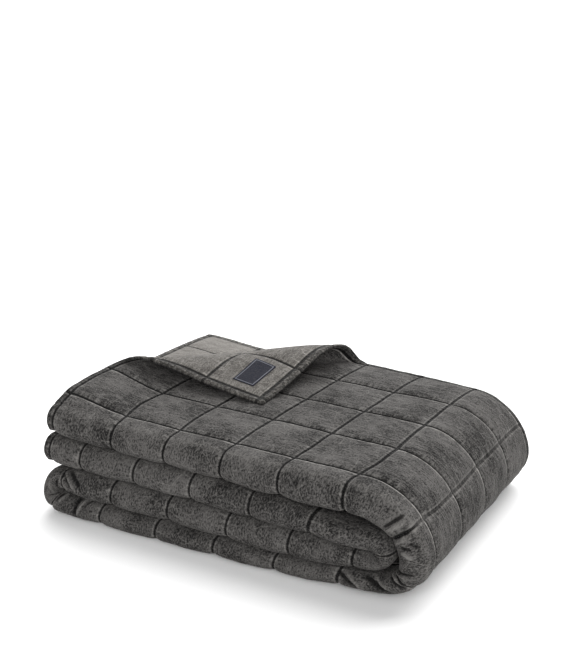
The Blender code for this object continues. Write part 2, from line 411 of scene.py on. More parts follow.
    def give(self, x: Array, y: Array, z: Array, on_top: Array) -> Array:
        """Let the folded pile sag, creep and curl a little, as soft cloth does.

        Args:
            x: X in the stiff pile.
            y: Y in the stiff pile.
            z: Z in the stiff pile.
            on_top: Whether each point is on the top layer.

        Returns:
            One row of X, Y and Z for each point.
        """
        level = np.clip(z / self.pile_height, 0.0, 1.0)
        off_middle = np.clip(np.abs(y - self.middle_y) / self.half_depth, 0.0, self.furthest_off)
        back_right = smooth_step(x, *self.corner_droop_x) * smooth_step(y, self.middle_y, self.back_edge_y)
        droop = (self.edge_droop + self.corner_droop * back_right) * off_middle**4
        near_hem = np.exp(-(((x + self.hem) / self.hem_curl_width) ** 2))
        curl = self.hem_curl * smooth_step(y, *self.curl_rise_y)
        curl = curl * (1.0 - self.curl_fall * smooth_step(y, *self.curl_fall_y))
        lift = self.left_lift * smooth_step(level, *self.lift_level) + np.where(on_top, curl, 0.0)
        creep = self.front_creep * (1.0 - (x / self.creep_length) ** 2) * (1.0 - level)
        skew = 1.0 - self.reach_skew * np.clip(y / self.back_edge_y, -0.1, 1.0)
        reach = self.right_reach * smooth_step(x, *self.reach_x) * skew
        tuck = self.left_tuck * (1.0 - smooth_step(x, *self.tuck_x))
        tuck = tuck * (1.0 - smooth_step(level, *self.tuck_level))
        fading = 1.0 - smooth_step(level, 0.0, self.under_lift_level)
        under = self.under_lift * smooth_step(x, *self.under_lift_x) * fading
        inner = smooth_step(level, 0.0, self.sink_level[0])
        inner = inner * (1.0 - smooth_step(level, self.sink_level[1], 1.0))
        sink = self.sink * inner * smooth_step(x, *self.sink_x) * (1.0 - smooth_step(x, *self.sink_end_x))
        to_front = smooth_step(-y, *self.front_right_y)
        height = z * (1.0 - droop) + lift * near_hem + (under - sink) * to_front
        return np.stack([x + reach + tuck, y - creep, height], axis=-1)


# Where the cloth is pressed in or pushed out, along the front bends
CREASES = (
    # Notches and lumps on the inner side of the outer wrap
    Crease((0.577, 0.468), (0.584, 0.442), 0.0020, -0.0048),
    Crease((0.585, 0.468), (0.592, 0.444), 0.0045, 0.0026),
    Crease((0.603, 0.470), (0.602, 0.450), 0.0022, -0.0048),
    Crease((0.613, 0.470), (0.611, 0.450), 0.0045, 0.0026),
    Crease((0.619, 0.455), (0.634, 0.447), 0.0015, -0.0030),
    Crease((0.624, 0.466), (0.632, 0.456), 0.0022, -0.0040),
    Crease((0.630, 0.466), (0.648, 0.456), 0.0032, 0.0034),
    # Long folds where the bottom run turns into the outer wrap
    Crease((0.815, 0.480), (0.781, 0.451), 0.0026, 0.0034),
    Crease((0.822, 0.476), (0.788, 0.449), 0.0030, -0.0036),
    Crease((0.778, 0.480), (0.738, 0.455), 0.0026, 0.0034),
    Crease((0.786, 0.476), (0.746, 0.452), 0.0030, -0.0036),
    Crease((0.723, 0.481), (0.711, 0.454), 0.0026, 0.0036),
    Crease((0.732, 0.479), (0.718, 0.452), 0.0030, -0.0040),
    Crease((0.703, 0.478), (0.684, 0.452), 0.0026, 0.0030),
    Crease((0.697, 0.480), (0.679, 0.456), 0.0028, -0.0036),
    # Folds that run in towards the middle of the left bend
    Crease((1.415, 0.444), (1.447, 0.465), 0.0022, 0.0036),
    Crease((1.421, 0.441), (1.454, 0.460), 0.0030, -0.0030),
    Crease((1.412, 0.453), (1.430, 0.469), 0.0020, 0.0032),
    Crease((1.414, 0.448), (1.437, 0.466), 0.0020, -0.0028),
    Crease((1.393, 0.454), (1.345, 0.478), 0.0022, 0.0034),
    Crease((1.404, 0.456), (1.390, 0.480), 0.0026, -0.0036),
    Crease((1.340, 0.462), (1.325, 0.480), 0.0020, -0.0026),
    Crease((1.291, 0.466), (1.279, 0.482), 0.0022, 0.0032),
    Crease((1.300, 0.466), (1.290, 0.482), 0.0026, -0.0032),
    Crease((1.256, 0.452), (1.253, 0.482), 0.0024, -0.0046),
    Crease((1.249, 0.456), (1.237, 0.484), 0.0024, 0.0034),
    Crease((1.240, 0.467), (1.230, 0.483), 0.0014, -0.0036),
    # Soft marks on the front of the top run
    Crease((0.388, 0.458), (0.403, 0.440), 0.0026, -0.0014),
    Crease((0.394, 0.460), (0.409, 0.442), 0.0030, 0.0010),
    Crease((0.432, 0.462), (0.438, 0.448), 0.0020, -0.0022),
)
# How far the cross seams stray along the front bends: cloth distance and drift
SEAM_DRIFT = (
    (0.000, 0.000),
    (0.112, 0.009),
    (0.312, 0.000),
    (0.512, -0.012),
    (0.612, -0.008),
    (0.712, 0.000),
    (0.812, 0.009),
    (0.912, 0.000),
    (1.112, -0.005),
    (1.212, -0.005),
    (1.312, 0.000),
    (1.812, 0.000),
    (1.912, -0.010),
    (2.012, -0.032),
    (2.112, 0.006),
    (2.212, 0.000),
)

# Offsets across the width, and their weights, that soften a bend
EASING = ((-0.044, 0.12), (-0.022, 0.23), (0.0, 0.30), (0.022, 0.23), (0.044, 0.12))


@dataclass(frozen=True)
class Quilting:
    """How the cloth swells between its seams, and how unevenly it lies."""

    pile: FoldedPile
    seam_half: float = 0.0015  # half the cloth's thickness in a seam
    fill_half: float = 0.0048  # half its thickness in a cell that other layers press
    thinnest_half: float = 0.0008
    creased_half: float = 0.0010  # the least that a crease leaves
    shoulder: float = 0.0046  # how far beside a seam the cloth swells up
    crown: float = 0.0022  # further rise in the middle of an outer cell
    crown_reach: float = 0.05
    crown_size: float = 0.11
    uneven: float = 0.0011  # how far an outer cell's fill strays from even
    uneven_size: float = 0.035
    pucker: float = 0.00045
    pucker_size: float = 0.0085
    pucker_stretch: float = 0.15
    pucker_start: float = 0.002
    pucker_reach: float = 0.012
    pressed_pucker: float = 0.3  # share of the puckers that is left under other layers
    hem_half: float = 0.0034
    hem_edge_half: float = 0.0006
    hem_round: float = 0.0045
    hem_lumps: float = 0.16
    hem_lump_size: float = 0.010
    hem_stitch_reach: float = 0.0022
    wander: float = 0.0011  # how far seams stray from straight
    wander_size: float = 0.09
    edge_reach: float = 0.02  # how far in from an edge the seams stray less
    edge_wander: float = 0.3
    ripple: float = 0.0012
    ripple_size: float = 0.07
    outer_end_s: Range = (0.74, 0.86)
    left_start_s: Range = (1.28, 1.31)
    left_end_s: Range = (1.38, 1.41)
    layer_end_t: Range = (0.44, 0.47)
    bend_start_t: Range = (0.436, 0.448)
    bend_end_t: Range = (0.474, 0.486)
    flap_size: float = 0.4
    flap_rise: Range = (0.0, 0.03)
    flap_free: float = 0.5
    drift_start_t: Range = (0.36, 0.44)
    drift_end_t: Range = (0.50, 0.56)
    eased_s: Range = (0.08, 0.20)
    eased_start_t: Range = (0.14, 0.20)
    eased_end_t: Range = (0.38, 0.42)
    creases: tuple[Crease, ...] = CREASES
    crease_strength: float = 1.35
    crease_sharpness: float = 1.5
    crease_rise: Range = (-0.15, 0.25)  # shares of a crease's length
    crease_fall: Range = (0.75, 1.15)

    def seam_distance(self, along: Array, size: float) -> Array:
        """Distance to the nearest of the seams that cross one direction.

        Args:
            along: Distance along that direction.
            size: The cloth's size in it.

        Returns:
            The distance for each point.
        """
        pile = self.pile
        offset = (along - pile.hem + pile.cell / 2) % pile.cell - pile.cell / 2
        return np.minimum(np.abs(offset), np.abs(size - pile.hem - along))

    def outwards(self, s: Array, t: Array, side: Side) -> Array:
        """How free each point is to swell outwards.

        Args:
            s: Distance along the cloth's length.
            t: Distance across its width.
            side: The side wanted.

        Returns:
            A share from 0 to 1 for each point.
        """
        if side is Side.FACE:
            top = smooth_fall(s, *self.outer_end_s)
            left = smooth_step(s, *self.left_start_s) * smooth_fall(s, *self.left_end_s)
            layer = np.maximum(top, left) * smooth_fall(t, *self.layer_end_t)
            bend = smooth_step(t, *self.bend_start_t) * smooth_fall(t, *self.bend_end_t)
            return np.maximum(layer, bend)
        turned = smooth_step(self.pile.beyond_crest(s, t), *self.flap_rise)
        return self.flap_free * (turned * (t < self.flap_size) * (s < self.flap_size))

    def half(self, s: Array, t: Array, side: Side) -> Array:
        """Distance from the cloth's middle to one of its sides.

        Args:
            s: Distance along the cloth's length.
            t: Distance across its width.
            side: The side wanted.

        Returns:
            The distance for each point, never below zero.
        """
        pile = self.pile
        off_s = self.seam_distance(s, pile.length)
        off_t = self.seam_distance(t, pile.width)
        swell = (1 - np.exp(-off_s / self.shoulder)) * (1 - np.exp(-off_t / self.shoulder))
        dome = np.clip(off_s / self.crown_reach, 0, 1) * np.clip(off_t / self.crown_reach, 0, 1)
        crowns = SmoothNoise(Unevenness.CROWN, self.crown_size).at(s, t + 5 * side.value)
        dome = np.sqrt(dome) * (1 + 0.5 * crowns)
        rough = self.uneven * SmoothNoise(Unevenness.FILL, self.uneven_size).at(s, t + 7 * side.value)
        free = self.outwards(s, t, side)
        body = self.seam_half + (self.fill_half - self.seam_half) * swell
        body = body + free * (self.crown * dome + rough * swell)
        kept = self.pressed_pucker + (1 - self.pressed_pucker) * free
        body = body + kept * self.gathers(s, t, off_s, off_t)
        edge = pile.edge_distance(s, t)
        return np.where(edge < pile.hem, self.hem(s, t, edge), np.maximum(body, self.thinnest_half))

    def gathers(self, s: Array, t: Array, off_s: Array, off_t: Array) -> Array:
        """Height of the small puckers that run square to the seams.

        Args:
            s: Distance along the cloth's length.
            t: Distance across its width.
            off_s: Distance from the nearest seam that crosses the length.
            off_t: Distance from the nearest seam that crosses the width.

        Returns:
            The height for each point.
        """
        along = SmoothNoise(Unevenness.GATHER_ALONG, self.pucker_size).at(s * self.pucker_stretch, t)
        across = SmoothNoise(Unevenness.GATHER_ACROSS, self.pucker_size).at(s, t * self.pucker_stretch)
        along = along * np.exp(-off_s / self.pucker_reach)
        across = across * np.exp(-off_t / self.pucker_reach)
        near = 1 - np.exp(-np.minimum(off_s, off_t) / self.pucker_start)
        return self.pucker * near * (along + across)

    def hem(self, s: Array, t: Array, edge: Array) -> Array:
        """Distance from the cloth's middle to a side of the hem, which is round at its edge.

        Args:
            s: Distance along the cloth's length.
            t: Distance across its width.
            edge: Distance from the nearest edge.

        Returns:
            The distance for each point.
        """
        from_edge = np.clip(edge / self.hem_round, 0, 1)
        roll = np.sqrt(np.maximum(1 - (1 - from_edge) ** 2, 0))
        lumps = 1 + self.hem_lumps * SmoothNoise(Unevenness.HEM, self.hem_lump_size).at(s, t)
        stitched = 1 - np.exp(-np.maximum(self.pile.hem - edge, 0) / self.hem_stitch_reach)
        hem = self.hem_edge_half + (self.hem_half * lumps - self.hem_edge_half) * roll * stitched
        return np.maximum(hem, self.hem_edge_half + (self.seam_half - self.hem_edge_half) * roll)

    def drift(self, s: Array, t: Array) -> Array:
        """How far the cross seams stray along the length, which they do on the front bends."""
        on_front = smooth_step(t, *self.drift_start_t) * (1.0 - smooth_step(t, *self.drift_end_t))
        return on_front * np.interp(s, *zip(*SEAM_DRIFT))

    def crumple(self, s: Array, t: Array) -> Array:
        """How far creases push the velvet face outwards.

        Args:
            s: Distance along the cloth's length.
            t: Distance across its width.

        Returns:
            The push for each point.
        """
        push = np.zeros(np.broadcast(s, t).shape)
        for crease in self.creases:
            start, end = np.array(crease.start), np.array(crease.end)
            run = end - start
            size = float(np.hypot(*run))
            along = ((s - start[0]) * run[0] + (t - start[1]) * run[1]) / size
            across = ((s - start[0]) * run[1] - (t - start[1]) * run[0]) / size
            share = along / size
            fade = smooth_step(share, *self.crease_rise) * smooth_fall(share, *self.crease_fall)
            ridge = np.exp(-np.abs(across / crease.width) ** self.crease_sharpness)
            push = push + crease.depth * fade * ridge
        return self.crease_strength * push

    def stray(self, field_name: Unevenness, s: Array, t: Array) -> Array:
        """How far the seams stray from straight, which they do less near the edges.

        Args:
            field_name: The random field that it follows.
            s: Distance along the cloth's length.
            t: Distance across its width.

        Returns:
            The distance for each point.
        """
        inland = np.clip(self.pile.edge_distance(s, t) / self.edge_reach, 0.0, 1.0)
        wander = self.wander * SmoothNoise(field_name, self.wander_size).at(s, t)
        return wander * (self.edge_wander + (1.0 - self.edge_wander) * inland) * inland

    def placed_s(self, s: Array, t: Array) -> Array:
        """Where points lie along the length, after the seams' straying."""
        strayed = s + self.drift(s, t) + self.stray(Unevenness.STRAY_ALONG, s, t)
        return np.clip(strayed, 0.0, self.pile.length)

    def placed_t(self, s: Array, t: Array) -> Array:
        """Where points lie across the width, after the seams' straying."""
        return np.clip(t + self.stray(Unevenness.STRAY_ACROSS, s, t), 0.0, self.pile.width)

    def crease_depth(self, s: Array, t: Array) -> Array:
        """How far creases push out the points of the velvet face, where those points lie."""
        return self.crumple(self.placed_s(s, t), t)

    def eased(self, s: Array, t: Array, n: Array) -> Array:
        """Points of the pile, with the corner's first bend softened near the left hem.

        Args:
            s: Distance along the cloth's length.
            t: Distance across its width.
            n: Distance from its middle, positive on the face.

        Returns:
            One row of X, Y and Z for each point.
        """
        points = self.pile.place(s, t, n)
        near = smooth_fall(s, *self.eased_s)
        near = near * smooth_step(t, *self.eased_start_t) * smooth_fall(t, *self.eased_end_t)
        soft = np.zeros_like(points)
        for offset, weight in EASING:
            soft += weight * self.pile.place(s, np.maximum(t + offset * near, 0.0), n)
        return points + near[..., None] * (soft - points)

    def surface(self, s: Array, t: Array, side: Side, lift: float = 0.0) -> Array:
        """Points on one side of the folded cloth, none of them below the floor.

        Args:
            s: Distance along the cloth's length.
            t: Distance across its width.
            side: The side wanted.
            lift: Distance out from that side.

        Returns:
            One row of X, Y and Z for each point.
        """
        ripples = SmoothNoise(Unevenness.RIPPLE, self.ripple_size).at(s, t)
        wave = self.ripple * (0.5 + 0.5 * ripples) * self.outwards(s, t, Side.FACE)
        half = self.half(s, t, side)
        if side is Side.FACE:
            half = np.maximum(half + self.crease_depth(s, t), self.creased_half)
        n = side.value * (half + lift) + wave
        points = self.eased(self.placed_s(s, t), self.placed_t(s, t), n)
        points[..., 2] = np.maximum(points[..., 2], 0.0)
        return points


HIDDEN_ALONG = (
    Span(0.030, 0.005),
    Span(0.500, 0.026),
    Span(0.780, 0.013),
    Span(1.280, 0.026),
    Span(1.420, 0.006),
    Span(1.900, 0.026),
    Span(2.070, 0.007),
    Span(2.560, 0.026),
    Span(2.600, 0.005),
)
OUTER_ALONG = (
    Span(0.800, 0.0060),
    Span(1.270, 0.026),
    Span(1.430, 0.0075),
    Span(1.900, 0.026),
    Span(2.070, 0.007),
    Span(2.560, 0.026),
    Span(2.600, 0.005),
)
BACK_ALONG = (Span(0.800, 0.006), Span(2.600, 0.010))
FRONT_ALONG = (
    Span(0.570, 0.0062),
    Span(0.835, 0.0027),
    Span(1.220, 0.0062),
    Span(1.460, 0.0027),
    Span(2.600, 0.0064),
)
FLAP_ALONG = (Span(0.270, 0.0046),) + HIDDEN_ALONG[1:]


@dataclass(frozen=True)
class MeshPlan:
    """Where the cloth's mesh has its rows and points: closest where it shows most."""

    seam_spacing: float = 0.0017
    seam_growth: float = 0.75
    coarse: float = 0.012  # from this spacing up, seams need no closer lines
    narrowest: float = 0.0008
    face: tuple[RowZone, ...] = (
        RowZone(0.030, 0.0040, BACK_ALONG),
        RowZone(0.412, 0.0060, OUTER_ALONG),
        RowZone(0.434, 0.0050, FRONT_ALONG),
        RowZone(0.490, 0.0027, FRONT_ALONG),
        RowZone(0.545, 0.0100, (Span(2.600, 0.0065),)),
        RowZone(0.890, 0.0260, HIDDEN_ALONG),
        RowZone(0.955, 0.0050, (Span(2.600, 0.014),)),
        RowZone(1.340, 0.0260, HIDDEN_ALONG),
        RowZone(1.385, 0.0045, HIDDEN_ALONG),
        RowZone(1.770, 0.0260, HIDDEN_ALONG),
        RowZone(1.800, 0.0040, BACK_ALONG),
    )
    reverse: tuple[RowZone, ...] = (
        RowZone(0.270, 0.0046, FLAP_ALONG),
        RowZone(0.430, 0.0260, HIDDEN_ALONG),
        RowZone(0.490, 0.0060, HIDDEN_ALONG),
        RowZone(0.890, 0.0260, HIDDEN_ALONG),
        RowZone(0.955, 0.0045, HIDDEN_ALONG),
        RowZone(1.340, 0.0260, HIDDEN_ALONG),
        RowZone(1.385, 0.0045, HIDDEN_ALONG),
        RowZone(1.500, 0.0260, HIDDEN_ALONG),
        RowZone(1.770, 0.0070, FLAP_ALONG),
        RowZone(1.800, 0.0040, BACK_ALONG),
    )

    def spaced(self, spans: Sequence[Span], size: float, pile: FoldedPile) -> Array:
        """Distances with the spacing that the spans ask for, closer beside seams.

        Args:
            spans: The spacing up to each distance.
            size: The cloth's size in this direction.
            pile: The cloth, for its seams.

        Returns:
            Rising distances, from 0 to size.
        """
        seams = [pile.hem + pile.cell * step for step in range(round(size / pile.cell))]
        stops = {0.0, size, pile.hem, size - pile.hem, *seams, *(span.end for span in spans)}
        stops = sorted(stop for stop in stops if 0.0 <= stop <= size)
        lines = [0.0]
        for start, end in zip(stops, stops[1:]):
            if end - start < self.narrowest:
                continue
            reach = np.linspace(start, end, 60)
            wanted = next(span.spacing for span in spans if (start + end) / 2 < span.end + 1e-9)
            spacing = np.full_like(reach, wanted)
            if wanted < self.coarse:
                off = np.minimum(reach - start, end - reach)
                spacing = np.minimum(wanted, self.seam_spacing + self.seam_growth * off)
            cells = np.diff(reach) * 2 / (spacing[1:] + spacing[:-1])
            total = np.concatenate([[0.0], np.cumsum(cells)])
            count = max(1, round(float(total[-1])))
            lines.extend(np.interp(np.linspace(0, total[-1], count + 1)[1:], total, reach))
        lines[-1] = size
        return np.array(lines)

    def rows(self, side: Side, pile: FoldedPile) -> list[tuple[float, Array]]:
        """Lay out the mesh rows of one side.

        Args:
            side: The side wanted.
            pile: The cloth, for its size and seams.

        Returns:
            Each row's t and its points' s.
        """
        zones = self.face if side is Side.FACE else self.reverse
        t_lines = self.spaced([Span(zone.end, zone.spacing) for zone in zones], pile.width, pile)
        along = [self.spaced(zone.along, pile.length, pile) for zone in zones]
        rows = []
        for t in t_lines:
            index = next(step for step, zone in enumerate(zones) if t <= zone.end + 1e-9)
            rows.append((float(t), along[index]))
        return rows


def zip_lines(first: Array, second: Array, first_at: Array, second_at: Array) -> list[tuple[int, ...]]:
    """Triangles between two lines of vertices.

    Args:
        first: Vertex numbers of one line.
        second: Vertex numbers of the other.
        first_at: Rising positions of the first line's vertices.
        second_at: Rising positions of the second line's vertices.

    Returns:
        Triangles that turn from the first line towards the second.
    """
    faces = []
    i = j = 0
    while i < len(first) - 1 or j < len(second) - 1:
        step_first = j == len(second) - 1 or (i < len(first) - 1 and first_at[i + 1] <= second_at[j + 1])
        if step_first:
            faces.append((first[i], first[i + 1], second[j]))
            i += 1
        else:
            faces.append((first[i], second[j + 1], second[j]))
            j += 1
    return faces


class ClothSurface:
    """One side of the cloth as rows of vertices and the faces between them."""

    def __init__(self, rows: list[tuple[float, Array]], first_index: int) -> None:
        """Number the rows' vertices and join them.

        Args:
            rows: Each row's t and its points' s.
            first_index: Number of the first vertex.
        """
        self.s = np.concatenate([along for _, along in rows])
        self.t = np.concatenate([np.full(len(along), t) for t, along in rows])
        starts = first_index + np.concatenate([[0], np.cumsum([len(along) for _, along in rows])])
        self.lines = [np.arange(starts[row], starts[row + 1]) for row in range(len(rows))]
        self.rows = rows
        self.faces = self.joined()

    def joined(self) -> list[tuple[int, ...]]:
        """Join each row to the next.

        Returns:
            The faces, as vertex numbers.
        """
        faces = []
        for index in range(len(self.rows) - 1):
            here, beyond = self.lines[index], self.lines[index + 1]
            here_at, beyond_at = self.rows[index][1], self.rows[index + 1][1]
            if here_at is beyond_at:
                quads = np.stack([here[:-1], here[1:], beyond[1:], beyond[:-1]], axis=1)
                faces.extend(map(tuple, quads.tolist()))
            else:
                faces.extend(zip_lines(here, beyond, here_at, beyond_at))
        return faces

    def border(self) -> list[tuple[Array, Array]]:
        """Find the four edges: left, right, first row and last row.

        Returns:
            Each edge's vertex numbers and its rising positions.
        """
        t_lines = np.array([t for t, _ in self.rows])
        left = np.array([line[0] for line in self.lines])
        right = np.array([line[-1] for line in self.lines])
        ends = [(self.lines[0], self.rows[0][1]), (self.lines[-1], self.rows[-1][1])]
        return [(left, t_lines), (right, t_lines), *ends]


class NodeKit:
    """Adds and joins nodes in one tree."""

    def __init__(self, tree: Tree) -> None:
        """Work on the given tree."""
        self.tree = tree

    def add(self, kind: str, **settings: object) -> Node:
        """Add a node and set its properties.

        Args:
            kind: The node's type.
            **settings: Properties to set on it.

        Returns:
            The new node.
        """
        node = self.tree.nodes.new(kind)
        for name, value in settings.items():
            setattr(node, name, value)
        return node

    def feed(self, socket: Socket, value: object) -> None:
        """Link a socket to another, or set its value.

        Args:
            socket: The socket to feed.
            value: Another socket, or a number, colour, name or material.
        """
        if isinstance(value, bpy.types.NodeSocket):
            self.tree.links.new(value, socket)
        else:
            socket.default_value = value

    def math(self, operation: str, *values: object, clamp: bool = False) -> Socket:
        """Add a math node.

        Args:
            operation: What it does.
            *values: Its inputs, numbers or sockets.
            clamp: Whether the result stays from 0 to 1.

        Returns:
            Its output.
        """
        node = self.add("ShaderNodeMath", operation=operation, use_clamp=clamp)
        for socket, value in zip(node.inputs, values):
            self.feed(socket, value)
        return node.outputs[0]

    def vector(self, operation: str, *values: object) -> Socket:
        """Add a vector math node.

        Args:
            operation: What it does.
            *values: Its inputs, vectors or sockets.

        Returns:
            Its vector output.
        """
        node = self.add("ShaderNodeVectorMath", operation=operation)
        for socket, value in zip(node.inputs, values):
            self.feed(socket, value)
        return node.outputs[0]

    def parts(self, vector: Socket) -> tuple[Socket, Socket]:
        """The first two parts of a vector.

        Args:
            vector: The vector.

        Returns:
            Its first and second part.
        """
        node = self.add("ShaderNodeSeparateXYZ")
        self.feed(node.inputs[0], vector)
        return node.outputs[0], node.outputs[1]

    def rescale(self, value: Socket, low: float, high: float, to_low: float, to_high: float) -> Socket:
        """Map a value from one range to another, and clamp it.

        Args:
            value: The value.
            low: The start of its range.
            high: The end of its range.
            to_low: What the start becomes.
            to_high: What the end becomes.

        Returns:
            The mapped value.
        """
        node = self.add("ShaderNodeMapRange", clamp=True)
        for socket, number in zip(node.inputs[:5], (value, low, high, to_low, to_high)):
            self.feed(socket, number)
        return node.outputs[0]

    def band(self, value: Socket, rise: Range, fall: Range, height: float) -> Socket:
        """A share that rises, stays level and falls again as a value grows.

        Args:
            value: The value.
            rise: Where the share starts and stops rising.
            fall: Where it starts and stops falling.
            height: The share between them.

        Returns:
            The share.
        """
        rising = self.rescale(value, *rise, 0.0, height)
        return self.math("MULTIPLY", rising, self.rescale(value, *fall, 1.0, 0.0))

    def noise(self, vector: Socket, scale: float, detail: float, roughness: float = 0.5) -> Socket:
        """Add a noise texture and give its value, around 0.5.

        Args:
            vector: Where to read it.
            scale: Bumps per metre.
            detail: Number of finer layers.
            roughness: How much the finer layers count.

        Returns:
            Its value.
        """
        node = self.add("ShaderNodeTexNoise", noise_dimensions="3D")
        self.feed(node.inputs["Vector"], vector)
        node.inputs["Scale"].default_value = scale
        node.inputs["Detail"].default_value = detail
        node.inputs["Roughness"].default_value = roughness
        return node.outputs["Fac"]

    def mix(self, share: object, first: object, second: object) -> Socket:
        """Mix two colours.

        Args:
            share: Share of the second colour, from 0 to 1.
            first: The first colour.
            second: The second colour.

        Returns:
            The mixed colour.
        """
        node = self.add("ShaderNodeMix", data_type="RGBA", clamp_factor=True)
        self.feed(node.inputs[0], share)
        self.feed(node.inputs[6], first)
        self.feed(node.inputs[7], second)
        return node.outputs[2]

    def bump(self, height: Socket, strength: float, distance: float) -> Socket:
        """Bend the normal by a height.

        Args:
            height: The height.
            strength: How far to bend it, from 0 to 1.
            distance: Metres in one unit of height.

        Returns:
            The bent normal.
        """
        node = self.add("ShaderNodeBump")
        node.inputs["Strength"].default_value = strength
        node.inputs["Distance"].default_value = distance
        self.feed(node.inputs["Height"], height)
        return node.outputs[0]

    def group(self, tree: Tree, **inputs: object) -> Node:
        """Add a group and feed its inputs.

        Args:
            tree: The group.
            **inputs: Its inputs by name, with _ for spaces.

        Returns:
            The group's node.
        """
        node = self.add("ShaderNodeGroup", node_tree=tree)
        for name, value in inputs.items():
            self.feed(node.inputs[name.replace("_", " ").capitalize()], value)
        return node


def start_material(name: str) -> tuple[bpy.types.Material, NodeKit, Node]:
    """Make a material with one plain shader.

    Args:
        name: The material's name.

    Returns:
        The material, a kit on its nodes, and its shader.
    """
    material = bpy.data.materials.new(name)
    material.use_nodes = True
    return material, NodeKit(material.node_tree), material.node_tree.nodes["Principled BSDF"]


def opaque(colour: Colour, strength: float = 1.0) -> tuple[float, float, float, float]:
    """A colour times a strength, as a socket takes it."""
    return (*(min(1.0, strength * part) for part in colour), 1.0)


class ScratchSize(NamedTuple):
    """One size of wash creases."""

    scale: float  # creased patches per metre
    width: float  # line width, as a share of a patch
    shift: float  # metres by which the pattern is moved


class ClothGroups(NamedTuple):
    """The shader groups of the cloth, each built once."""

    seams: Tree
    wash: Tree
    scratches: Tree
    gathers: Tree


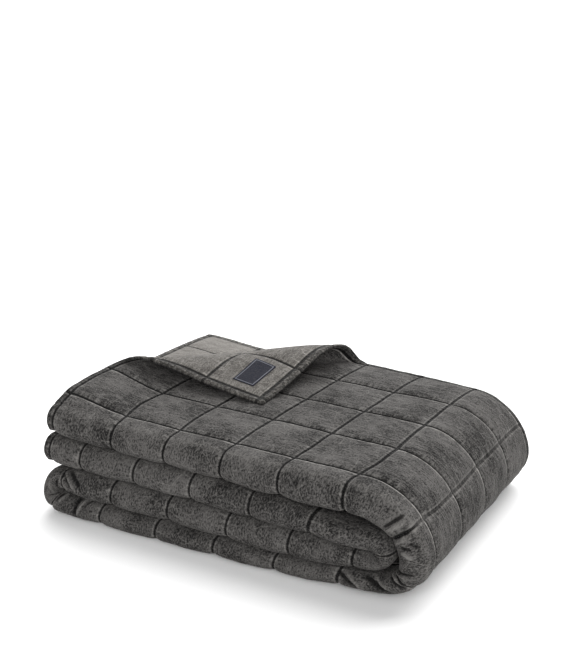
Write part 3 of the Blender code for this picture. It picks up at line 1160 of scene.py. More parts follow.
@dataclass(frozen=True)
class ClothEffects:
    """Shader groups that both sides of the cloth use."""

    pile: FoldedPile
    large_scale: float = 16.0
    middle_scale: float = 62.0
    small_scale: float = 400.0
    large_share: float = 0.40
    middle_share: float = 0.28
    small_share: float = 0.90
    streak_share: float = 0.56
    wash_middle: float = 1.07  # the sum of the four where the wash is even
    front_t: Range = (0.39, 0.44)
    scratch_sizes: tuple[ScratchSize, ...] = (
        ScratchSize(27.0, 0.024, 0.0),
        ScratchSize(50.0, 0.040, 3.1),
        ScratchSize(92.0, 0.065, 6.2),
    )
    scratch_bend: float = 0.007
    gather_scale: float = 210.0
    gather_stretch: float = 0.16
    gather_reach: float = 0.012

    def start(
        self, name: str, inputs: dict[str, tuple[str, float]], outputs: Sequence[str]
    ) -> tuple[Tree, NodeKit, Node, Node]:
        """Make an empty group.

        Args:
            name: The group's name.
            inputs: Each input's socket type and starting value.
            outputs: Names of its outputs.

        Returns:
            The tree, a kit on it, and its input and output nodes.
        """
        tree = bpy.data.node_groups.new(name, "ShaderNodeTree")
        for label, (kind, value) in inputs.items():
            socket = tree.interface.new_socket(label, in_out="INPUT", socket_type=kind)
            if kind == "NodeSocketFloat":
                socket.default_value = value
        for label in outputs:
            tree.interface.new_socket(label, in_out="OUTPUT", socket_type="NodeSocketFloat")
        kit = NodeKit(tree)
        return tree, kit, kit.add("NodeGroupInput"), kit.add("NodeGroupOutput")

    def seam_group(self) -> Tree:
        """Distances on the flat cloth to the nearest seams and to its edge.

        Returns:
            The group. Past long seam is negative before the nearest long seam.
        """
        pile = self.pile
        inputs = {"Cloth": ("NodeSocketVector", 0.0)}
        outputs = ("Cross seam", "Long seam", "Seam", "Edge", "Past long seam")
        tree, kit, source, sink = self.start("seam distances", inputs, outputs)
        past, seams, edges = [], [], []
        for value, size in zip(kit.parts(source.outputs["Cloth"]), (pile.length, pile.width)):
            shifted = kit.math("ADD", value, pile.cell / 2 - pile.hem)
            folded = kit.math("FLOORED_MODULO", shifted, pile.cell)
            past.append(kit.math("SUBTRACT", folded, pile.cell / 2))
            last = kit.math("ABSOLUTE", kit.math("SUBTRACT", value, size - pile.hem))
            seams.append(kit.math("MINIMUM", kit.math("ABSOLUTE", past[-1]), last))
            edges.append(kit.math("MINIMUM", value, kit.math("SUBTRACT", size, value)))
        kit.feed(sink.inputs["Cross seam"], seams[0])
        kit.feed(sink.inputs["Long seam"], seams[1])
        kit.feed(sink.inputs["Seam"], kit.math("MINIMUM", *seams))
        kit.feed(sink.inputs["Edge"], kit.math("MINIMUM", *edges))
        kit.feed(sink.inputs["Past long seam"], past[1])
        return tree

    def wash_group(self) -> Tree:
        """Cloudy wash marks at three sizes, and fine streaks, which run across the front bends.

        Returns:
            The group.
        """
        inputs = {"Cloth": ("NodeSocketVector", 0.0), "Contrast": ("NodeSocketFloat", 1.0)}
        tree, kit, source, sink = self.start("wash clouds", inputs, ("Cloud", "Streak"))
        cloth = source.outputs["Cloth"]
        large = kit.noise(cloth, self.large_scale, 2.0)
        middle = kit.noise(cloth, self.middle_scale, 4.0, 0.6)
        small = kit.noise(cloth, self.small_scale, 3.0, 0.7)
        along = kit.noise(kit.vector("MULTIPLY", cloth, (0.11, 1.0, 1.0)), 430.0, 2.0, 0.6)
        across = kit.noise(kit.vector("MULTIPLY", cloth, (1.0, 0.45, 1.0)), 560.0, 2.0, 0.6)
        in_front = kit.rescale(kit.parts(cloth)[1], *self.front_t, 0.0, 1.0)
        streak = kit.math("MULTIPLY_ADD", kit.math("SUBTRACT", across, along), in_front, along)
        total = kit.math("MULTIPLY", middle, self.middle_share)
        total = kit.math("MULTIPLY_ADD", large, self.large_share, total)
        total = kit.math("MULTIPLY_ADD", small, self.small_share, total)
        total = kit.math("MULTIPLY_ADD", streak, self.streak_share, total)
        centred = kit.math("SUBTRACT", total, self.wash_middle)
        scaled = kit.math("MULTIPLY", centred, source.outputs["Contrast"])
        kit.feed(sink.inputs["Cloud"], kit.math("ADD", scaled, 0.5, clamp=True))
        kit.feed(sink.inputs["Streak"], streak)
        return tree

    def scratch_group(self) -> Tree:
        """Thin pale lines where the cloth was creased in the wash.

        Returns:
            The group.
        """
        inputs = {"Cloth": ("NodeSocketVector", 0.0), "Amount": ("NodeSocketFloat", 0.5)}
        tree, kit, source, sink = self.start("wash creases", inputs, ("Line",))
        bend = (self.scratch_bend, self.scratch_bend, 0.0)
        lines = []
        for size in self.scratch_sizes:
            moved = kit.vector("ADD", source.outputs["Cloth"], (size.shift, size.shift, 0.0))
            bent = kit.add("ShaderNodeTexNoise", noise_dimensions="3D")
            kit.feed(bent.inputs["Vector"], moved)
            bent.inputs["Scale"].default_value = size.scale * 0.8
            bent.inputs["Detail"].default_value = 3.0
            spread = kit.vector("SUBTRACT", bent.outputs["Color"], (0.5, 0.5, 0.5))
            moved = kit.vector("ADD", moved, kit.vector("MULTIPLY", spread, bend))
            cells = kit.add("ShaderNodeTexVoronoi", voronoi_dimensions="2D", feature="DISTANCE_TO_EDGE")
            kit.feed(cells.inputs["Vector"], moved)
            cells.inputs["Scale"].default_value = size.scale
            line = kit.rescale(cells.outputs["Distance"], 0.0, size.width, 1.0, 0.0)
            shown = kit.rescale(kit.noise(moved, size.scale * 0.8, 1.0), 0.50, 0.62, 0.0, 1.0)
            lines.append(kit.math("MULTIPLY", line, shown))
        every = kit.math("MAXIMUM", kit.math("MAXIMUM", lines[0], lines[1]), lines[2])
        kit.feed(sink.inputs["Line"], kit.math("MULTIPLY", every, source.outputs["Amount"]))
        return tree

    def gather_group(self) -> Tree:
        """Small gathers that run square to the seams and fade away from them.

        Returns:
            The group.
        """
        inputs = {
            "Cloth": ("NodeSocketVector", 0.0),
            "Cross seam": ("NodeSocketFloat", 0.0),
            "Long seam": ("NodeSocketFloat", 0.0),
            "Reach": ("NodeSocketFloat", self.gather_reach),
        }
        tree, kit, source, sink = self.start("seam gathers", inputs, ("Gather",))
        thin = self.gather_stretch
        gathers = []
        for label, stretch in (("Cross seam", (thin, 1.0, 1.0)), ("Long seam", (1.0, thin, 1.0))):
            drawn = kit.vector("MULTIPLY", source.outputs["Cloth"], stretch)
            value = kit.math("SUBTRACT", kit.noise(drawn, self.gather_scale, 1.5), 0.5)
            share = kit.math("DIVIDE", source.outputs[label], source.outputs["Reach"])
            fade = kit.math("POWER", 2.718, kit.math("MULTIPLY", share, -1.0))
            gathers.append(kit.math("MULTIPLY", value, fade))
        kit.feed(sink.inputs["Gather"], kit.math("ADD", *gathers))
        return tree

    def groups(self) -> ClothGroups:
        """Build each group once."""
        return ClothGroups(self.seam_group(), self.wash_group(), self.scratch_group(), self.gather_group())


@dataclass(frozen=True)
class SeamWearAndLight:
    """How the cloth is dark in its seams, with dark thread and painted shade, and pale beside them, with
    rubbed wear, painted highlight and painted sheen.
    """

    dark_end: Range = (0.0013, 0.0026)  # where the dark of a seam fades out
    front_t: Range = (0.390, 0.435)
    narrowing: Range = (0.76, 1.08)  # behind the front bends, and on them
    wrap_s: Range = (0.52, 0.60)
    dark_on_wrap: float = 0.50
    bends_t: Range = (0.425, 0.440)
    dark_on_bends: float = 0.92
    # A pale band past each long seam, on the side that faces the light: partly rubbed wear, partly painted
    # highlight
    pale_rise: Range = (0.0022, 0.0031)
    pale_fall: Range = (0.0040, 0.0058)
    pale_cross: float = 0.22  # how pale it is beside cross seams, against long seams
    pale_s: Range = (0.38, 0.50)
    pale_on_top: float = 0.7
    paler: float = 1.7  # how much paler than rubbed cloth the pale seam lines, with their painted highlight, are
    bend_t: float = 0.462  # where the front bends stand out furthest
    # Painted sheen highlight in a band 14 to 27 mm either side of where the front bends stand out furthest
    sheen_rim_rise: Range = (0.014, 0.019)
    sheen_rim_fall: Range = (0.022, 0.027)
    rim: float = 0.12

    def dark(self, kit: NodeKit, seams: Node, cloth: Socket) -> Socket:
        """How dark the cloth is painted in its seams: dark thread and painted shade in the seam's groove.

        Args:
            kit: The material's kit.
            seams: The seam distances.
            cloth: The cloth coordinates.

        Returns:
            A share from 0 to 1.
        """
        s, t = kit.parts(cloth)
        narrower = kit.rescale(t, *self.front_t, *self.narrowing)
        off_seam = kit.math("MULTIPLY", seams.outputs["Seam"], narrower)
        in_seam = kit.rescale(off_seam, *self.dark_end, 1.0, 0.0)
        on_top = kit.rescale(s, *self.wrap_s, 1.0, self.dark_on_wrap)
        on_bends = kit.rescale(t, *self.bends_t, 0.0, self.dark_on_bends)
        return kit.math("MULTIPLY", in_seam, kit.math("MAXIMUM", on_top, on_bends))

    def pale(self, kit: NodeKit, seams: Node, cloth: Socket, frost_and_highlight: float) -> Socket:
        """How far the cloth is rubbed pale beside its seams, with a painted highlight on the lit side of the
        long seams, and painted sheen along the front bends.

        Args:
            kit: The material's kit.
            seams: The seam distances.
            cloth: The cloth coordinates.
            frost_and_highlight: The most that it is rubbed pale and painted light.

        Returns:
            A share from 0 to 1, unevenly along each seam.
        """
        uneven = kit.rescale(kit.noise(cloth, 150.0, 2.0), 0.38, 0.60, 0.25, 1.0)
        beside_long = kit.band(seams.outputs["Past long seam"], self.pale_rise, self.pale_fall, 1.0)
        near_cross = seams.outputs["Cross seam"]
        beside_cross = kit.band(near_cross, self.pale_rise, self.pale_fall, self.pale_cross)
        both = kit.math("MULTIPLY", kit.math("MAXIMUM", beside_long, beside_cross), uneven)
        s, t = kit.parts(cloth)
        along = kit.rescale(s, *self.pale_s, self.pale_on_top * frost_and_highlight, frost_and_highlight)
        off_bend = kit.math("ABSOLUTE", kit.math("SUBTRACT", t, self.bend_t))
        # painted sheen highlight along the front bends
        rim = kit.band(off_bend, self.sheen_rim_rise, self.sheen_rim_fall, self.rim * frost_and_highlight)
        return kit.math("MAXIMUM", kit.math("MULTIPLY", both, along), kit.math("MULTIPLY", rim, uneven))


@dataclass(frozen=True)
class ClothFinish:
    """The colours, painted light and shade, and nap of one side of the cloth."""

    name: str
    dark: Colour
    light: Colour
    # pale colour of rubbed wear, also used for painted light and painted highlights
    rubbed_and_lit: Colour
    # colour of the thread, also used as painted shade in the seams' grooves, gather troughs and crease
    # valleys
    seam: Colour
    contrast: float
    scratches: float
    frost_and_highlight: float  # how pale the cloth is rubbed beside its seams, partly a painted highlight on the lit side of the long seams
    hem_dark: float  # how much darker the hem is
    painted_light_under: float  # painted light: how much paler the half of the cloth that lies under is painted, standing in for the light that falls on it
    roughness: float
    sheen: float
    sheen_roughness: float
    nap: float  # millimetres of nap in the bump
    folds: float  # millimetres of small folds in the bump
    painted_light_t: Range = (1.3, 1.5)
    hem_end: Range = (0.0095, 0.0120)
    wear_and_light: SeamWearAndLight = SeamWearAndLight()

    def material(self, groups: ClothGroups) -> bpy.types.Material:
        """Build the finish's material.

        Args:
            groups: The shader groups that it uses.

        Returns:
            The material.
        """
        material, kit, shader = start_material(self.name)
        cloth = kit.add("ShaderNodeUVMap", uv_map=CLOTH_MAP).outputs[0]
        seams = kit.group(groups.seams, cloth=cloth)
        wash = kit.group(groups.wash, cloth=cloth, contrast=self.contrast)
        scratch = kit.group(groups.scratches, cloth=cloth, amount=self.scratches).outputs[0]
        near = {"cross_seam": seams.outputs["Cross seam"], "long_seam": seams.outputs["Long seam"]}
        gather = kit.group(groups.gathers, cloth=cloth, **near).outputs[0]

        colour = self.washed(kit, cloth, wash, scratch, gather)
        kit.feed(shader.inputs["Base Color"], self.worn(kit, cloth, seams, colour))
        kit.feed(shader.inputs["Normal"], self.relief(kit, cloth, wash, scratch, gather))
        worn = kit.math("MULTIPLY_ADD", wash.outputs["Cloud"], -0.12, self.roughness + 0.06)
        kit.feed(shader.inputs["Roughness"], worn)
        shader.inputs["Sheen Weight"].default_value = self.sheen
        shader.inputs["Sheen Roughness"].default_value = self.sheen_roughness
        shader.inputs["Sheen Tint"].default_value = opaque(self.rubbed_and_lit, 5.0)
        shader.inputs["Specular IOR Level"].default_value = 0.08
        return material

    def washed(self, kit: NodeKit, cloth: Socket, wash: Node, scratch: Socket, gather: Socket) -> Socket:
        """Colour that the wash left on the cloth, with painted light on the half that lies under and painted
        highlight and shade on the gathers.

        Args:
            kit: The material's kit.
            cloth: The cloth coordinates.
            wash: The wash clouds.
            scratch: Where wash creases run.
            gather: Height of the gathers beside the seams.

        Returns:
            The colour.
        """
        rubbed_and_lit, thread = opaque(self.rubbed_and_lit), opaque(self.seam)
        # painted light: the half of the cloth that lies under is painted paler
        under = kit.rescale(kit.parts(cloth)[1], *self.painted_light_t, 0.0, self.painted_light_under)
        colour = kit.mix(wash.outputs["Cloud"], opaque(self.dark), opaque(self.light))
        colour = kit.mix(under, colour, rubbed_and_lit)
        colour = kit.mix(scratch, colour, rubbed_and_lit)
        # painted highlight on the gathers' crests and painted shade in their troughs
        colour = kit.mix(kit.rescale(gather, 0.03, 0.13, 0.0, 0.40), colour, rubbed_and_lit)
        return kit.mix(kit.rescale(gather, -0.03, -0.13, 0.0, 0.35), colour, thread)

    def worn(self, kit: NodeKit, cloth: Socket, seams: Node, colour: Socket) -> Socket:
        """Colour once the painted light and shade of creases, the hem, and the seams' dark and pale lines
        are added.

        Args:
            kit: The material's kit.
            cloth: The cloth coordinates.
            seams: The seam distances.
            colour: The washed cloth's colour.

        Returns:
            The colour.
        """
        rubbed_and_lit, thread = opaque(self.rubbed_and_lit), opaque(self.seam)
        frost_and_highlight = opaque(self.rubbed_and_lit, self.wear_and_light.paler)
        # pale lines beside the seams: rubbed wear with painted highlight, and painted sheen along the front
        # bends
        colour = kit.mix(self.wear_and_light.pale(kit, seams, cloth, self.frost_and_highlight), colour, frost_and_highlight)
        crease = kit.add("ShaderNodeAttribute", attribute_name=CREASE_DEPTH).outputs["Fac"]
        # painted highlight on crease ridges and painted shade in crease valleys, from the crease depth
        colour = kit.mix(kit.rescale(crease, 1.0, 4.2, 0.0, 0.60), colour, rubbed_and_lit)
        colour = kit.mix(kit.rescale(crease, -0.4, -2.6, 0.0, 0.84), colour, thread)
        on_hem = kit.rescale(seams.outputs["Edge"], *self.hem_end, self.hem_dark, 0.0)
        blotch = kit.rescale(kit.noise(cloth, 170.0, 3.0, 0.6), 0.46, 0.60, 0.0, 0.80)
        colour = kit.mix(on_hem, colour, kit.mix(blotch, thread, colour))
        # dark thread and painted shade in the seams' grooves
        return kit.mix(self.wear_and_light.dark(kit, seams, cloth), colour, thread)

    def relief(self, kit: NodeKit, cloth: Socket, wash: Node, scratch: Socket, gather: Socket) -> Socket:
        """The normal, bent by nap, streaks, small folds, gathers and wash creases.

        Args:
            kit: The material's kit.
            cloth: The cloth coordinates.
            wash: The wash clouds.
            scratch: Where wash creases run.
            gather: Height of the gathers beside the seams.

        Returns:
            The bent normal.
        """
        nap = kit.noise(cloth, 900.0, 2.0, 0.65)
        fold = kit.noise(cloth, 70.0, 4.0, 0.58)
        height = kit.math("MULTIPLY_ADD", nap, self.nap, kit.math("MULTIPLY", fold, self.folds))
        height = kit.math("MULTIPLY_ADD", wash.outputs["Streak"], self.nap, height)
        height = kit.math("MULTIPLY_ADD", gather, 3.0, height)
        height = kit.math("MULTIPLY_ADD", scratch, 0.25 * self.folds, height)
        return kit.bump(height, 0.9, 1.0 / MILLIMETRES)


VELVET = ClothFinish(
    name="washed charcoal velvet",
    dark=(0.0100, 0.0096, 0.0094),
    light=(0.0860, 0.0821, 0.0788),
    rubbed_and_lit=(0.178, 0.171, 0.162),
    seam=(0.0025, 0.0024, 0.0024),
    contrast=3.9,
    scratches=0.38,
    frost_and_highlight=0.95,
    hem_dark=0.62,
    painted_light_under=0.0,
    roughness=0.90,
    sheen=0.08,
    sheen_roughness=0.28,
    nap=0.35,
    folds=3.4,
)
COTTON = ClothFinish(
    name="washed taupe cotton",
    dark=(0.052, 0.048, 0.044),
    light=(0.150, 0.141, 0.130),
    rubbed_and_lit=(0.260, 0.247, 0.229),
    seam=(0.012, 0.0114, 0.0108),
    contrast=3.2,
    scratches=0.70,
    frost_and_highlight=0.35,
    hem_dark=0.80,
    painted_light_under=0.35,
    roughness=0.88,
    sheen=0.06,
    sheen_roughness=0.40,
    nap=0.30,
    folds=6.5,
)


@dataclass(frozen=True)
class ThreadFinish:
    """Sewing thread."""

    name: str = "charcoal thread"
    colour: Colour = (0.0060, 0.0058, 0.0056)
    lighter: float = 1.9  # how much lighter its flecks are
    roughness: Range = (0.55, 0.75)

    def material(self) -> bpy.types.Material:
        """Build the thread's material, with a fine twist along it.

        Returns:
            The material.
        """
        material, kit, shader = start_material(self.name)
        fleck = kit.noise(kit.add("ShaderNodeTexCoord").outputs["Object"], 1500.0, 1.0)
        colour = kit.mix(fleck, opaque(self.colour), opaque(self.colour, self.lighter))
        kit.feed(shader.inputs["Base Color"], colour)
        kit.feed(shader.inputs["Normal"], kit.bump(fleck, 0.5, 0.0002))
        kit.feed(shader.inputs["Roughness"], kit.rescale(fleck, 0.3, 0.7, *self.roughness))
        return material


@dataclass(frozen=True)
class LabelFinish:
    """A woven label: plain ground with a pale border."""

    name: str = "woven navy label"
    ground: Colour = (0.0022, 0.0028, 0.0080)
    border: Colour = (0.160, 0.165, 0.190)
    border_start: Range = (0.0022, 0.0026)  # in from the label's edge
    border_end: Range = (0.0034, 0.0038)
    border_strength: float = 0.75
    weave: float = 2600.0  # threads per metre
    roughness: Range = (0.55, 0.75)

    def inset(self, kit: NodeKit, value: Socket, reach: Range) -> Socket:
        """Distance in from the nearer of the label's two edges in one direction.

        Args:
            kit: The material's kit.
            value: The distance along that direction.
            reach: Where the label starts and ends in it.

        Returns:
            The distance.
        """
        low, high = reach
        return kit.math("MINIMUM", kit.math("SUBTRACT", value, low), kit.math("SUBTRACT", high, value))

    def material(self, label: "WovenLabel") -> bpy.types.Material:
        """Build the label's material.

        Args:
            label: The label, for its place on the cloth.

        Returns:
            The material.
        """
        material, kit, shader = start_material(self.name)
        cloth = kit.add("ShaderNodeUVMap", uv_map=CLOTH_MAP).outputs[0]
        s, t = kit.parts(cloth)
        inset = kit.math("MINIMUM", self.inset(kit, s, label.s_range), self.inset(kit, t, label.t_range))
        line = kit.band(inset, self.border_start, self.border_end, 1.0)
        warp = kit.math("SINE", kit.math("MULTIPLY", s, self.weave * math.pi))
        weft = kit.math("SINE", kit.math("MULTIPLY", t, self.weave * math.pi))
        weave = kit.math("MULTIPLY", warp, weft)
        worn = kit.noise(cloth, 300.0, 2.0)
        border = opaque(self.border)
        ground = kit.mix(worn, opaque(self.ground), opaque(self.ground, 1.7))
        colour = kit.mix(kit.math("MULTIPLY", line, self.border_strength), ground, border)
        colour = kit.mix(kit.rescale(weave, 0.2, 1.0, 0.0, 0.05), colour, border)
        kit.feed(shader.inputs["Base Color"], colour)
        kit.feed(shader.inputs["Normal"], kit.bump(weave, 0.6, 0.0002))
        kit.feed(shader.inputs["Roughness"], kit.rescale(worn, 0.3, 0.7, *self.roughness))
        shader.inputs["Specular IOR Level"].default_value = 0.1
        return material


def finish_mesh(name: str, vertices: Array, faces: Sequence[Sequence[int]], flat: Array) -> bpy.types.Object:
    """Add a smoothly shaded mesh with its flat cloth map.

    Args:
        name: The object's name.
        vertices: One row of X, Y and Z each.
        faces: Vertex numbers of each face.
        flat: One row of s and t for each vertex.

    Returns:
        The new object, at the origin.
    """
    mesh = bpy.data.meshes.new(name)
    mesh.from_pydata(vertices.tolist(), [], faces)
    corners = np.empty(len(mesh.loops), dtype=np.int32)
    mesh.loops.foreach_get("vertex_index", corners)
    layer = mesh.uv_layers.new(name=CLOTH_MAP)
    layer.data.foreach_set("uv", flat[corners].astype(np.float32).ravel())
    mesh.shade_smooth()
    item = bpy.data.objects.new(name, mesh)
    bpy.context.scene.collection.objects.link(item)
    return item


@dataclass
class Bedspread:
    """The quilted cloth itself."""

    quilting: Quilting
    plan: MeshPlan = field(default_factory=MeshPlan)

    def build(self) -> bpy.types.Object:
        """Make the cloth as one closed sheet, face and reverse joined along its edges.

        Returns:
            The new object, at the origin.
        """
        pile = self.quilting.pile
        face = ClothSurface(self.plan.rows(Side.FACE, pile), 0)
        reverse = ClothSurface(self.plan.rows(Side.REVERSE, pile), len(face.s))
        vertices = np.concatenate(
            [
                self.quilting.surface(face.s, face.t, Side.FACE),
                self.quilting.surface(reverse.s, reverse.t, Side.REVERSE),
            ]
        )
        faces = [tuple(reversed(corners)) for corners in face.faces]
        faces += reverse.faces
        slots = [0] * len(face.faces) + [1] * len(reverse.faces)
        turned = (True, False, False, True)
        for (outer, outer_at), (inner, inner_at), flip in zip(face.border(), reverse.border(), turned):
            rim = zip_lines(outer, inner, outer_at, inner_at)
            faces += [tuple(reversed(corners)) for corners in rim] if flip else rim
        slots += [0] * (len(faces) - len(slots))
        flat = np.stack([np.concatenate([face.s, reverse.s]), np.concatenate([face.t, reverse.t])], axis=1)
        item = finish_mesh("bedspread_cloth", vertices, faces, flat)
        item.data.polygons.foreach_set("material_index", np.array(slots, dtype=np.int32))
        depth = np.zeros(len(vertices), dtype=np.float32)
        depth[: len(face.s)] = self.quilting.crease_depth(face.s, face.t)
        stored = item.data.attributes.new(CREASE_DEPTH, "FLOAT", "POINT")
        stored.data.foreach_set("value", depth * MILLIMETRES)
        return item

    def dress(self, item: bpy.types.Object, groups: ClothGroups) -> None:
        """Give the two sides their finishes."""
        item.data.materials.append(VELVET.material(groups))
        item.data.materials.append(COTTON.material(groups))


@dataclass
class WovenLabel:
    """The label sewn on the reverse of the corner."""

    quilting: Quilting
    s_range: Range = (0.028, 0.093)
    t_range: Range = (0.036, 0.074)
    thickness: float = 0.0006
    clearance: float = 0.0003
    step: float = 0.0016

    @property
    def flat_size(self) -> Range:
        """Its width and length."""
        return self.t_range[1] - self.t_range[0], self.s_range[1] - self.s_range[0]

    def build(self) -> bpy.types.Object:
        """Make the label as a thin closed sheet that lies on the reverse.

        Returns:
            The new object, at the origin.
        """
        rows, columns = (round(size / self.step) for size in self.flat_size)
        s, t = np.meshgrid(
            np.linspace(*self.s_range, columns + 1), np.linspace(*self.t_range, rows + 1), indexing="ij"
        )
        s, t = s.ravel(), t.ravel()
        count = len(s)
        numbers = np.arange(count).reshape(columns + 1, rows + 1)
        cells = np.stack([numbers[:-1, :-1], numbers[1:, :-1], numbers[1:, 1:], numbers[:-1, 1:]], axis=-1)
        cells = cells.reshape(-1, 4).tolist()
        under = self.quilting.surface(s, t, Side.REVERSE, self.clearance)
        over = self.quilting.surface(s, t, Side.REVERSE, self.clearance + self.thickness)
        faces = [tuple(cell) for cell in cells]
        faces += [tuple(index + count for index in reversed(cell)) for cell in cells]
        loop = [*numbers[:-1, 0], *numbers[-1, :-1], *numbers[:0:-1, -1], *numbers[0, :0:-1]]
        for start, end in zip(loop, loop[1:] + loop[:1]):
            faces.append((end, start, start + count, end + count))
        flat = np.tile(np.stack([s, t], axis=1), (2, 1))
        return finish_mesh("woven_label", np.concatenate([over, under]), faces, flat)

    def dress(self, item: bpy.types.Object) -> None:
        """Give the label its woven finish."""
        item.data.materials.append(LabelFinish().material(self))


class SeamRun(NamedTuple):
    """A seam's visible run: it lies at one distance and reaches between two others."""

    side: Side
    across: bool  # True when the seam runs across the cloth's width
    at: float
    start: float
    end: float


@dataclass
class Stitching:
    """Stitches in the seams and along the hem."""

    quilting: Quilting
    name: str = "quilting_stitches"
    pitch: float = 0.0042
    length: float = 0.0030
    thickness: float = 0.0006
    lift: float = 0.0001
    path_step: float = 0.003
    probe: float = 0.002  # how far out the cloth's outward direction is measured
    cross_seams: int = 26
    top_cross_seams: int = 8  # those that show from the back edge of the top run
    long_seams: int = 5
    flap_seams: int = 3
    front_t: Range = (0.412, 0.515)
    top_s: Range = (0.0, 0.790)
    left_s: Range = (1.285, 1.415)
    flap_reach: float = 0.27
    flap_narrowing: float = 0.1
    flap_hem_t: float = 1.50
    flap_hem_s: float = 0.25

    def face_runs(self) -> list[SeamRun]:
        """The velvet face's seams that show.

        Returns:
            Each seam with its reach.
        """
        pile = self.quilting.pile
        front_start, front_end = self.front_t
        runs = []
        for step in range(self.cross_seams):
            start = 0.0 if step < self.top_cross_seams else front_start
            runs.append(SeamRun(Side.FACE, True, pile.hem + pile.cell * step, start, front_end))
        for step in range(self.long_seams):
            for reach in (self.top_s, self.left_s):
                runs.append(SeamRun(Side.FACE, False, pile.hem + pile.cell * step, *reach))
        runs.append(SeamRun(Side.FACE, True, pile.length - pile.hem, *self.front_t))
        return runs

    def reverse_runs(self) -> list[SeamRun]:
        """The reverse's seams that show on the turned corner and the layer under it.

        Returns:
            Each seam with its reach.
        """
        pile = self.quilting.pile
        runs = []
        for step in range(self.flap_seams):
            for across in (True, False):
                end = self.flap_reach - self.flap_narrowing * step
                runs.append(SeamRun(Side.REVERSE, across, pile.hem + pile.cell * step, 0.0, end))
        runs.append(SeamRun(Side.REVERSE, True, pile.hem, self.flap_hem_t, pile.width))
        runs.append(SeamRun(Side.REVERSE, False, pile.width - pile.hem, 0.0, self.flap_hem_s))
        return runs

    def path(self, run: SeamRun) -> tuple[Array, Array]:
        """Follow a seam's run.

        Args:
            run: The run.

        Returns:
            Points along it, and the cloth's outward direction at each.
        """
        count = max(2, round((run.end - run.start) / self.path_step))
        along = np.linspace(run.start, run.end, count)
        fixed = np.full_like(along, run.at)
        s, t = (fixed, along) if run.across else (along, fixed)
        low = self.quilting.surface(s, t, run.side, self.lift)
        high = self.quilting.surface(s, t, run.side, self.lift + self.probe)
        outwards = high - low
        return low, outwards / np.linalg.norm(outwards, axis=1, keepdims=True)

    def tree(self, material: bpy.types.Material) -> Tree:
        """Build the node tree that lays stitches along every path.

        Args:
            material: The thread.

        Returns:
            The tree.
        """
        tree = bpy.data.node_groups.new("stitches along a seam", "GeometryNodeTree")
        tree.interface.new_socket("Geometry", in_out="INPUT", socket_type="NodeSocketGeometry")
        for label in ("Pitch", "Length", "Thickness"):
            tree.interface.new_socket(label, in_out="INPUT", socket_type="NodeSocketFloat")
        tree.interface.new_socket("Geometry", in_out="OUTPUT", socket_type="NodeSocketGeometry")
        kit = NodeKit(tree)
        source, sink = kit.add("NodeGroupInput"), kit.add("NodeGroupOutput")
        curves = kit.add("GeometryNodeMeshToCurve")
        kit.feed(curves.inputs[0], source.outputs["Geometry"])
        points = kit.add("GeometryNodeCurveToPoints", mode="LENGTH")
        kit.feed(points.inputs["Curve"], curves.outputs[0])
        kit.feed(points.inputs["Length"], source.outputs["Pitch"])
        outwards = kit.add("GeometryNodeInputNamedAttribute", data_type="FLOAT_VECTOR")
        outwards.inputs["Name"].default_value = OUTWARDS
        turn = kit.add("FunctionNodeAxesToRotation", primary_axis="X", secondary_axis="Z")
        kit.feed(turn.inputs["Primary Axis"], points.outputs["Tangent"])
        kit.feed(turn.inputs["Secondary Axis"], outwards.outputs[0])
        bead = kit.add("GeometryNodeMeshIcoSphere")
        bead.inputs["Radius"].default_value = 0.5
        bead.inputs["Subdivisions"].default_value = 1
        size = kit.add("ShaderNodeCombineXYZ")
        for socket, label in zip(size.inputs, ("Length", "Thickness", "Thickness")):
            kit.feed(socket, source.outputs[label])
        placed = kit.add("GeometryNodeInstanceOnPoints")
        kit.feed(placed.inputs["Points"], points.outputs["Points"])
        kit.feed(placed.inputs["Instance"], bead.outputs["Mesh"])
        kit.feed(placed.inputs["Rotation"], turn.outputs[0])
        kit.feed(placed.inputs["Scale"], size.outputs[0])
        real = kit.add("GeometryNodeRealizeInstances")
        kit.feed(real.inputs[0], placed.outputs[0])
        smooth = kit.add("GeometryNodeSetShadeSmooth")
        kit.feed(smooth.inputs["Geometry"], real.outputs[0])
        painted = kit.add("GeometryNodeSetMaterial")
        kit.feed(painted.inputs["Geometry"], smooth.outputs[0])
        kit.feed(painted.inputs["Material"], material)
        kit.feed(sink.inputs[0], painted.outputs[0])
        return tree

    def guide(self) -> bpy.types.Object:
        """Make the paths of all the runs, with the outward direction at each point.

        Returns:
            The new object, at the origin.
        """
        points, directions, edges = [], [], []
        for run in self.face_runs() + self.reverse_runs():
            low, outwards = self.path(run)
            first = sum(len(part) for part in points)
            edges += [(first + step, first + step + 1) for step in range(len(low) - 1)]
            points.append(low)
            directions.append(outwards)
        mesh = bpy.data.meshes.new(self.name + "_guide")
        mesh.from_pydata(np.concatenate(points).tolist(), edges, [])
        stored = mesh.attributes.new(OUTWARDS, "FLOAT_VECTOR", "POINT")
        stored.data.foreach_set("vector", np.concatenate(directions).astype(np.float32).ravel())
        item = bpy.data.objects.new(self.name, mesh)
        bpy.context.scene.collection.objects.link(item)
        return item

    def build(self) -> bpy.types.Object:
        """Make the stitches as one plain mesh, with the thread as its material.

        Returns:
            The new object, at the origin.
        """
        item = self.guide()
        modifier = item.modifiers.new("stitches", "NODES")
        modifier.node_group = self.tree(ThreadFinish().material())
        sizes = {"Pitch": self.pitch, "Length": self.length, "Thickness": self.thickness}
        for socket in modifier.node_group.interface.items_tree:
            if socket.in_out == "INPUT" and socket.name in sizes:
                modifier[socket.identifier] = sizes[socket.name]
        evaluated = item.evaluated_get(bpy.context.evaluated_depsgraph_get())
        made = bpy.data.meshes.new_from_object(evaluated)
        item.modifiers.remove(modifier)
        item.data = made
        return item


class SoftLight(NamedTuple):
    """A distant, wide light."""

    name: str
    strength: float
    tilt: float  # degrees down from straight above
    azimuth: float  # degrees round the vertical
    angle: float  # degrees that it spans, which soften its shadows


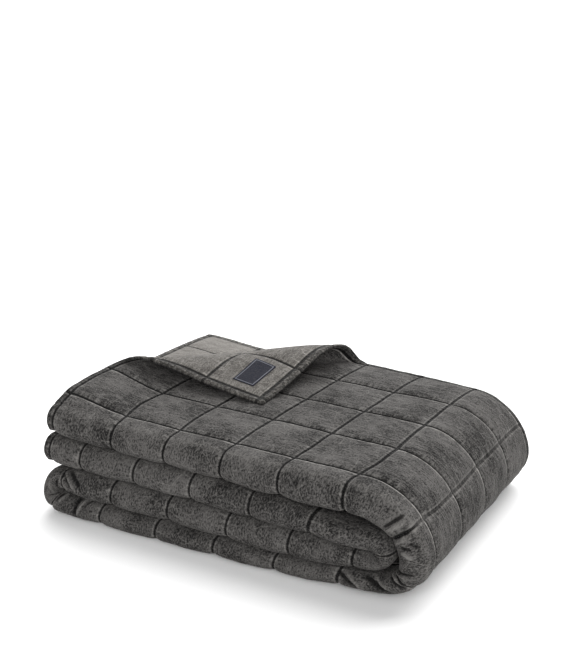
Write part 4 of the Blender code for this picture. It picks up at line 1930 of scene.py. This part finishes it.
@dataclass(frozen=True)
class Studio:
    """A plain pale floor, soft light from all round, and the camera."""

    floor_half: float = 40.0
    floor_z: float = -0.0004
    floor_colour: Colour = (0.88, 0.88, 0.88)
    camera_place: tuple[float, float, float] = (0.92987, -1.61256, 0.87342)
    camera_azimuth: float = 30.49
    camera_pitch: float = 17.89
    camera_roll: float = 0.63
    lens: float = 70.38
    sky: float = 0.31
    soft_lights: tuple[SoftLight, ...] = (
        SoftLight("back light", 5.8, 48.0, 192.0, 74.0),
        SoftLight("front light", 2.25, 66.0, 20.0, 45.0),
        SoftLight("side light", 0.8, 66.0, 70.0, 60.0),
    )

    def floor(self) -> None:
        """Make the floor, just under the cloth."""
        half, z = self.floor_half, self.floor_z
        corners = [(-half, -half, z), (half, -half, z), (half, half, z), (-half, half, z)]
        mesh = bpy.data.meshes.new("floor")
        mesh.from_pydata(corners, [], [(0, 1, 2, 3)])
        material, _, shader = start_material("pale floor")
        shader.inputs["Base Color"].default_value = opaque(self.floor_colour)
        shader.inputs["Roughness"].default_value = 0.95
        shader.inputs["Specular IOR Level"].default_value = 0.0
        mesh.materials.append(material)
        item = bpy.data.objects.new("floor", mesh)
        bpy.context.scene.collection.objects.link(item)

    def lights(self) -> None:
        """Light the scene mostly from above the back, and a little from the front and the side."""
        world = bpy.data.worlds.new("studio")
        world.use_nodes = True
        background = world.node_tree.nodes["Background"]
        background.inputs["Color"].default_value = (1.0, 1.0, 1.0, 1.0)
        background.inputs["Strength"].default_value = self.sky
        bpy.context.scene.world = world
        for light in self.soft_lights:
            lamp = bpy.data.lights.new(light.name, "SUN")
            lamp.energy = light.strength
            lamp.angle = math.radians(light.angle)
            item = bpy.data.objects.new(light.name, lamp)
            item.rotation_euler = Euler((math.radians(light.tilt), 0.0, math.radians(light.azimuth)))
            bpy.context.scene.collection.objects.link(item)

    def camera(self) -> None:
        """Set the camera."""
        lens = bpy.data.cameras.new("camera")
        lens.lens = self.lens
        lens.sensor_width = 36.0
        lens.clip_start, lens.clip_end = 0.05, 200.0
        item = bpy.data.objects.new("camera", lens)
        item.location = Vector(self.camera_place)
        turned = Euler((math.radians(90.0 - self.camera_pitch), 0.0, math.radians(self.camera_azimuth)))
        rolled = Euler((0.0, 0.0, math.radians(self.camera_roll)))
        item.rotation_euler = (turned.to_matrix() @ rolled.to_matrix()).to_euler()
        bpy.context.scene.collection.objects.link(item)
        bpy.context.scene.camera = item
        bpy.context.scene.view_settings.view_transform = "Standard"


def main() -> None:
    """Build every piece, attach it to the root and set the scene."""
    logging.basicConfig(level=logging.INFO, format="%(name)s: %(message)s", stream=sys.stdout)
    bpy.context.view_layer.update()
    pile = FoldedPile()
    quilting = Quilting(pile)

    spread = Bedspread(quilting)
    cloth = spread.build()
    spread.dress(cloth, ClothEffects(pile).groups())
    label_maker = WovenLabel(quilting)
    label = label_maker.build()
    label_maker.dress(label)
    stitches = Stitching(quilting).build()

    for piece in (cloth, label, stitches):
        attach(piece, "root")
        LOG.info("%s: %d faces", piece.name, len(piece.data.polygons))
    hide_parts("bedspread")
    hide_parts("label")

    studio = Studio()
    studio.floor()
    studio.lights()
    studio.camera()


if __name__ == "__main__":
    main()
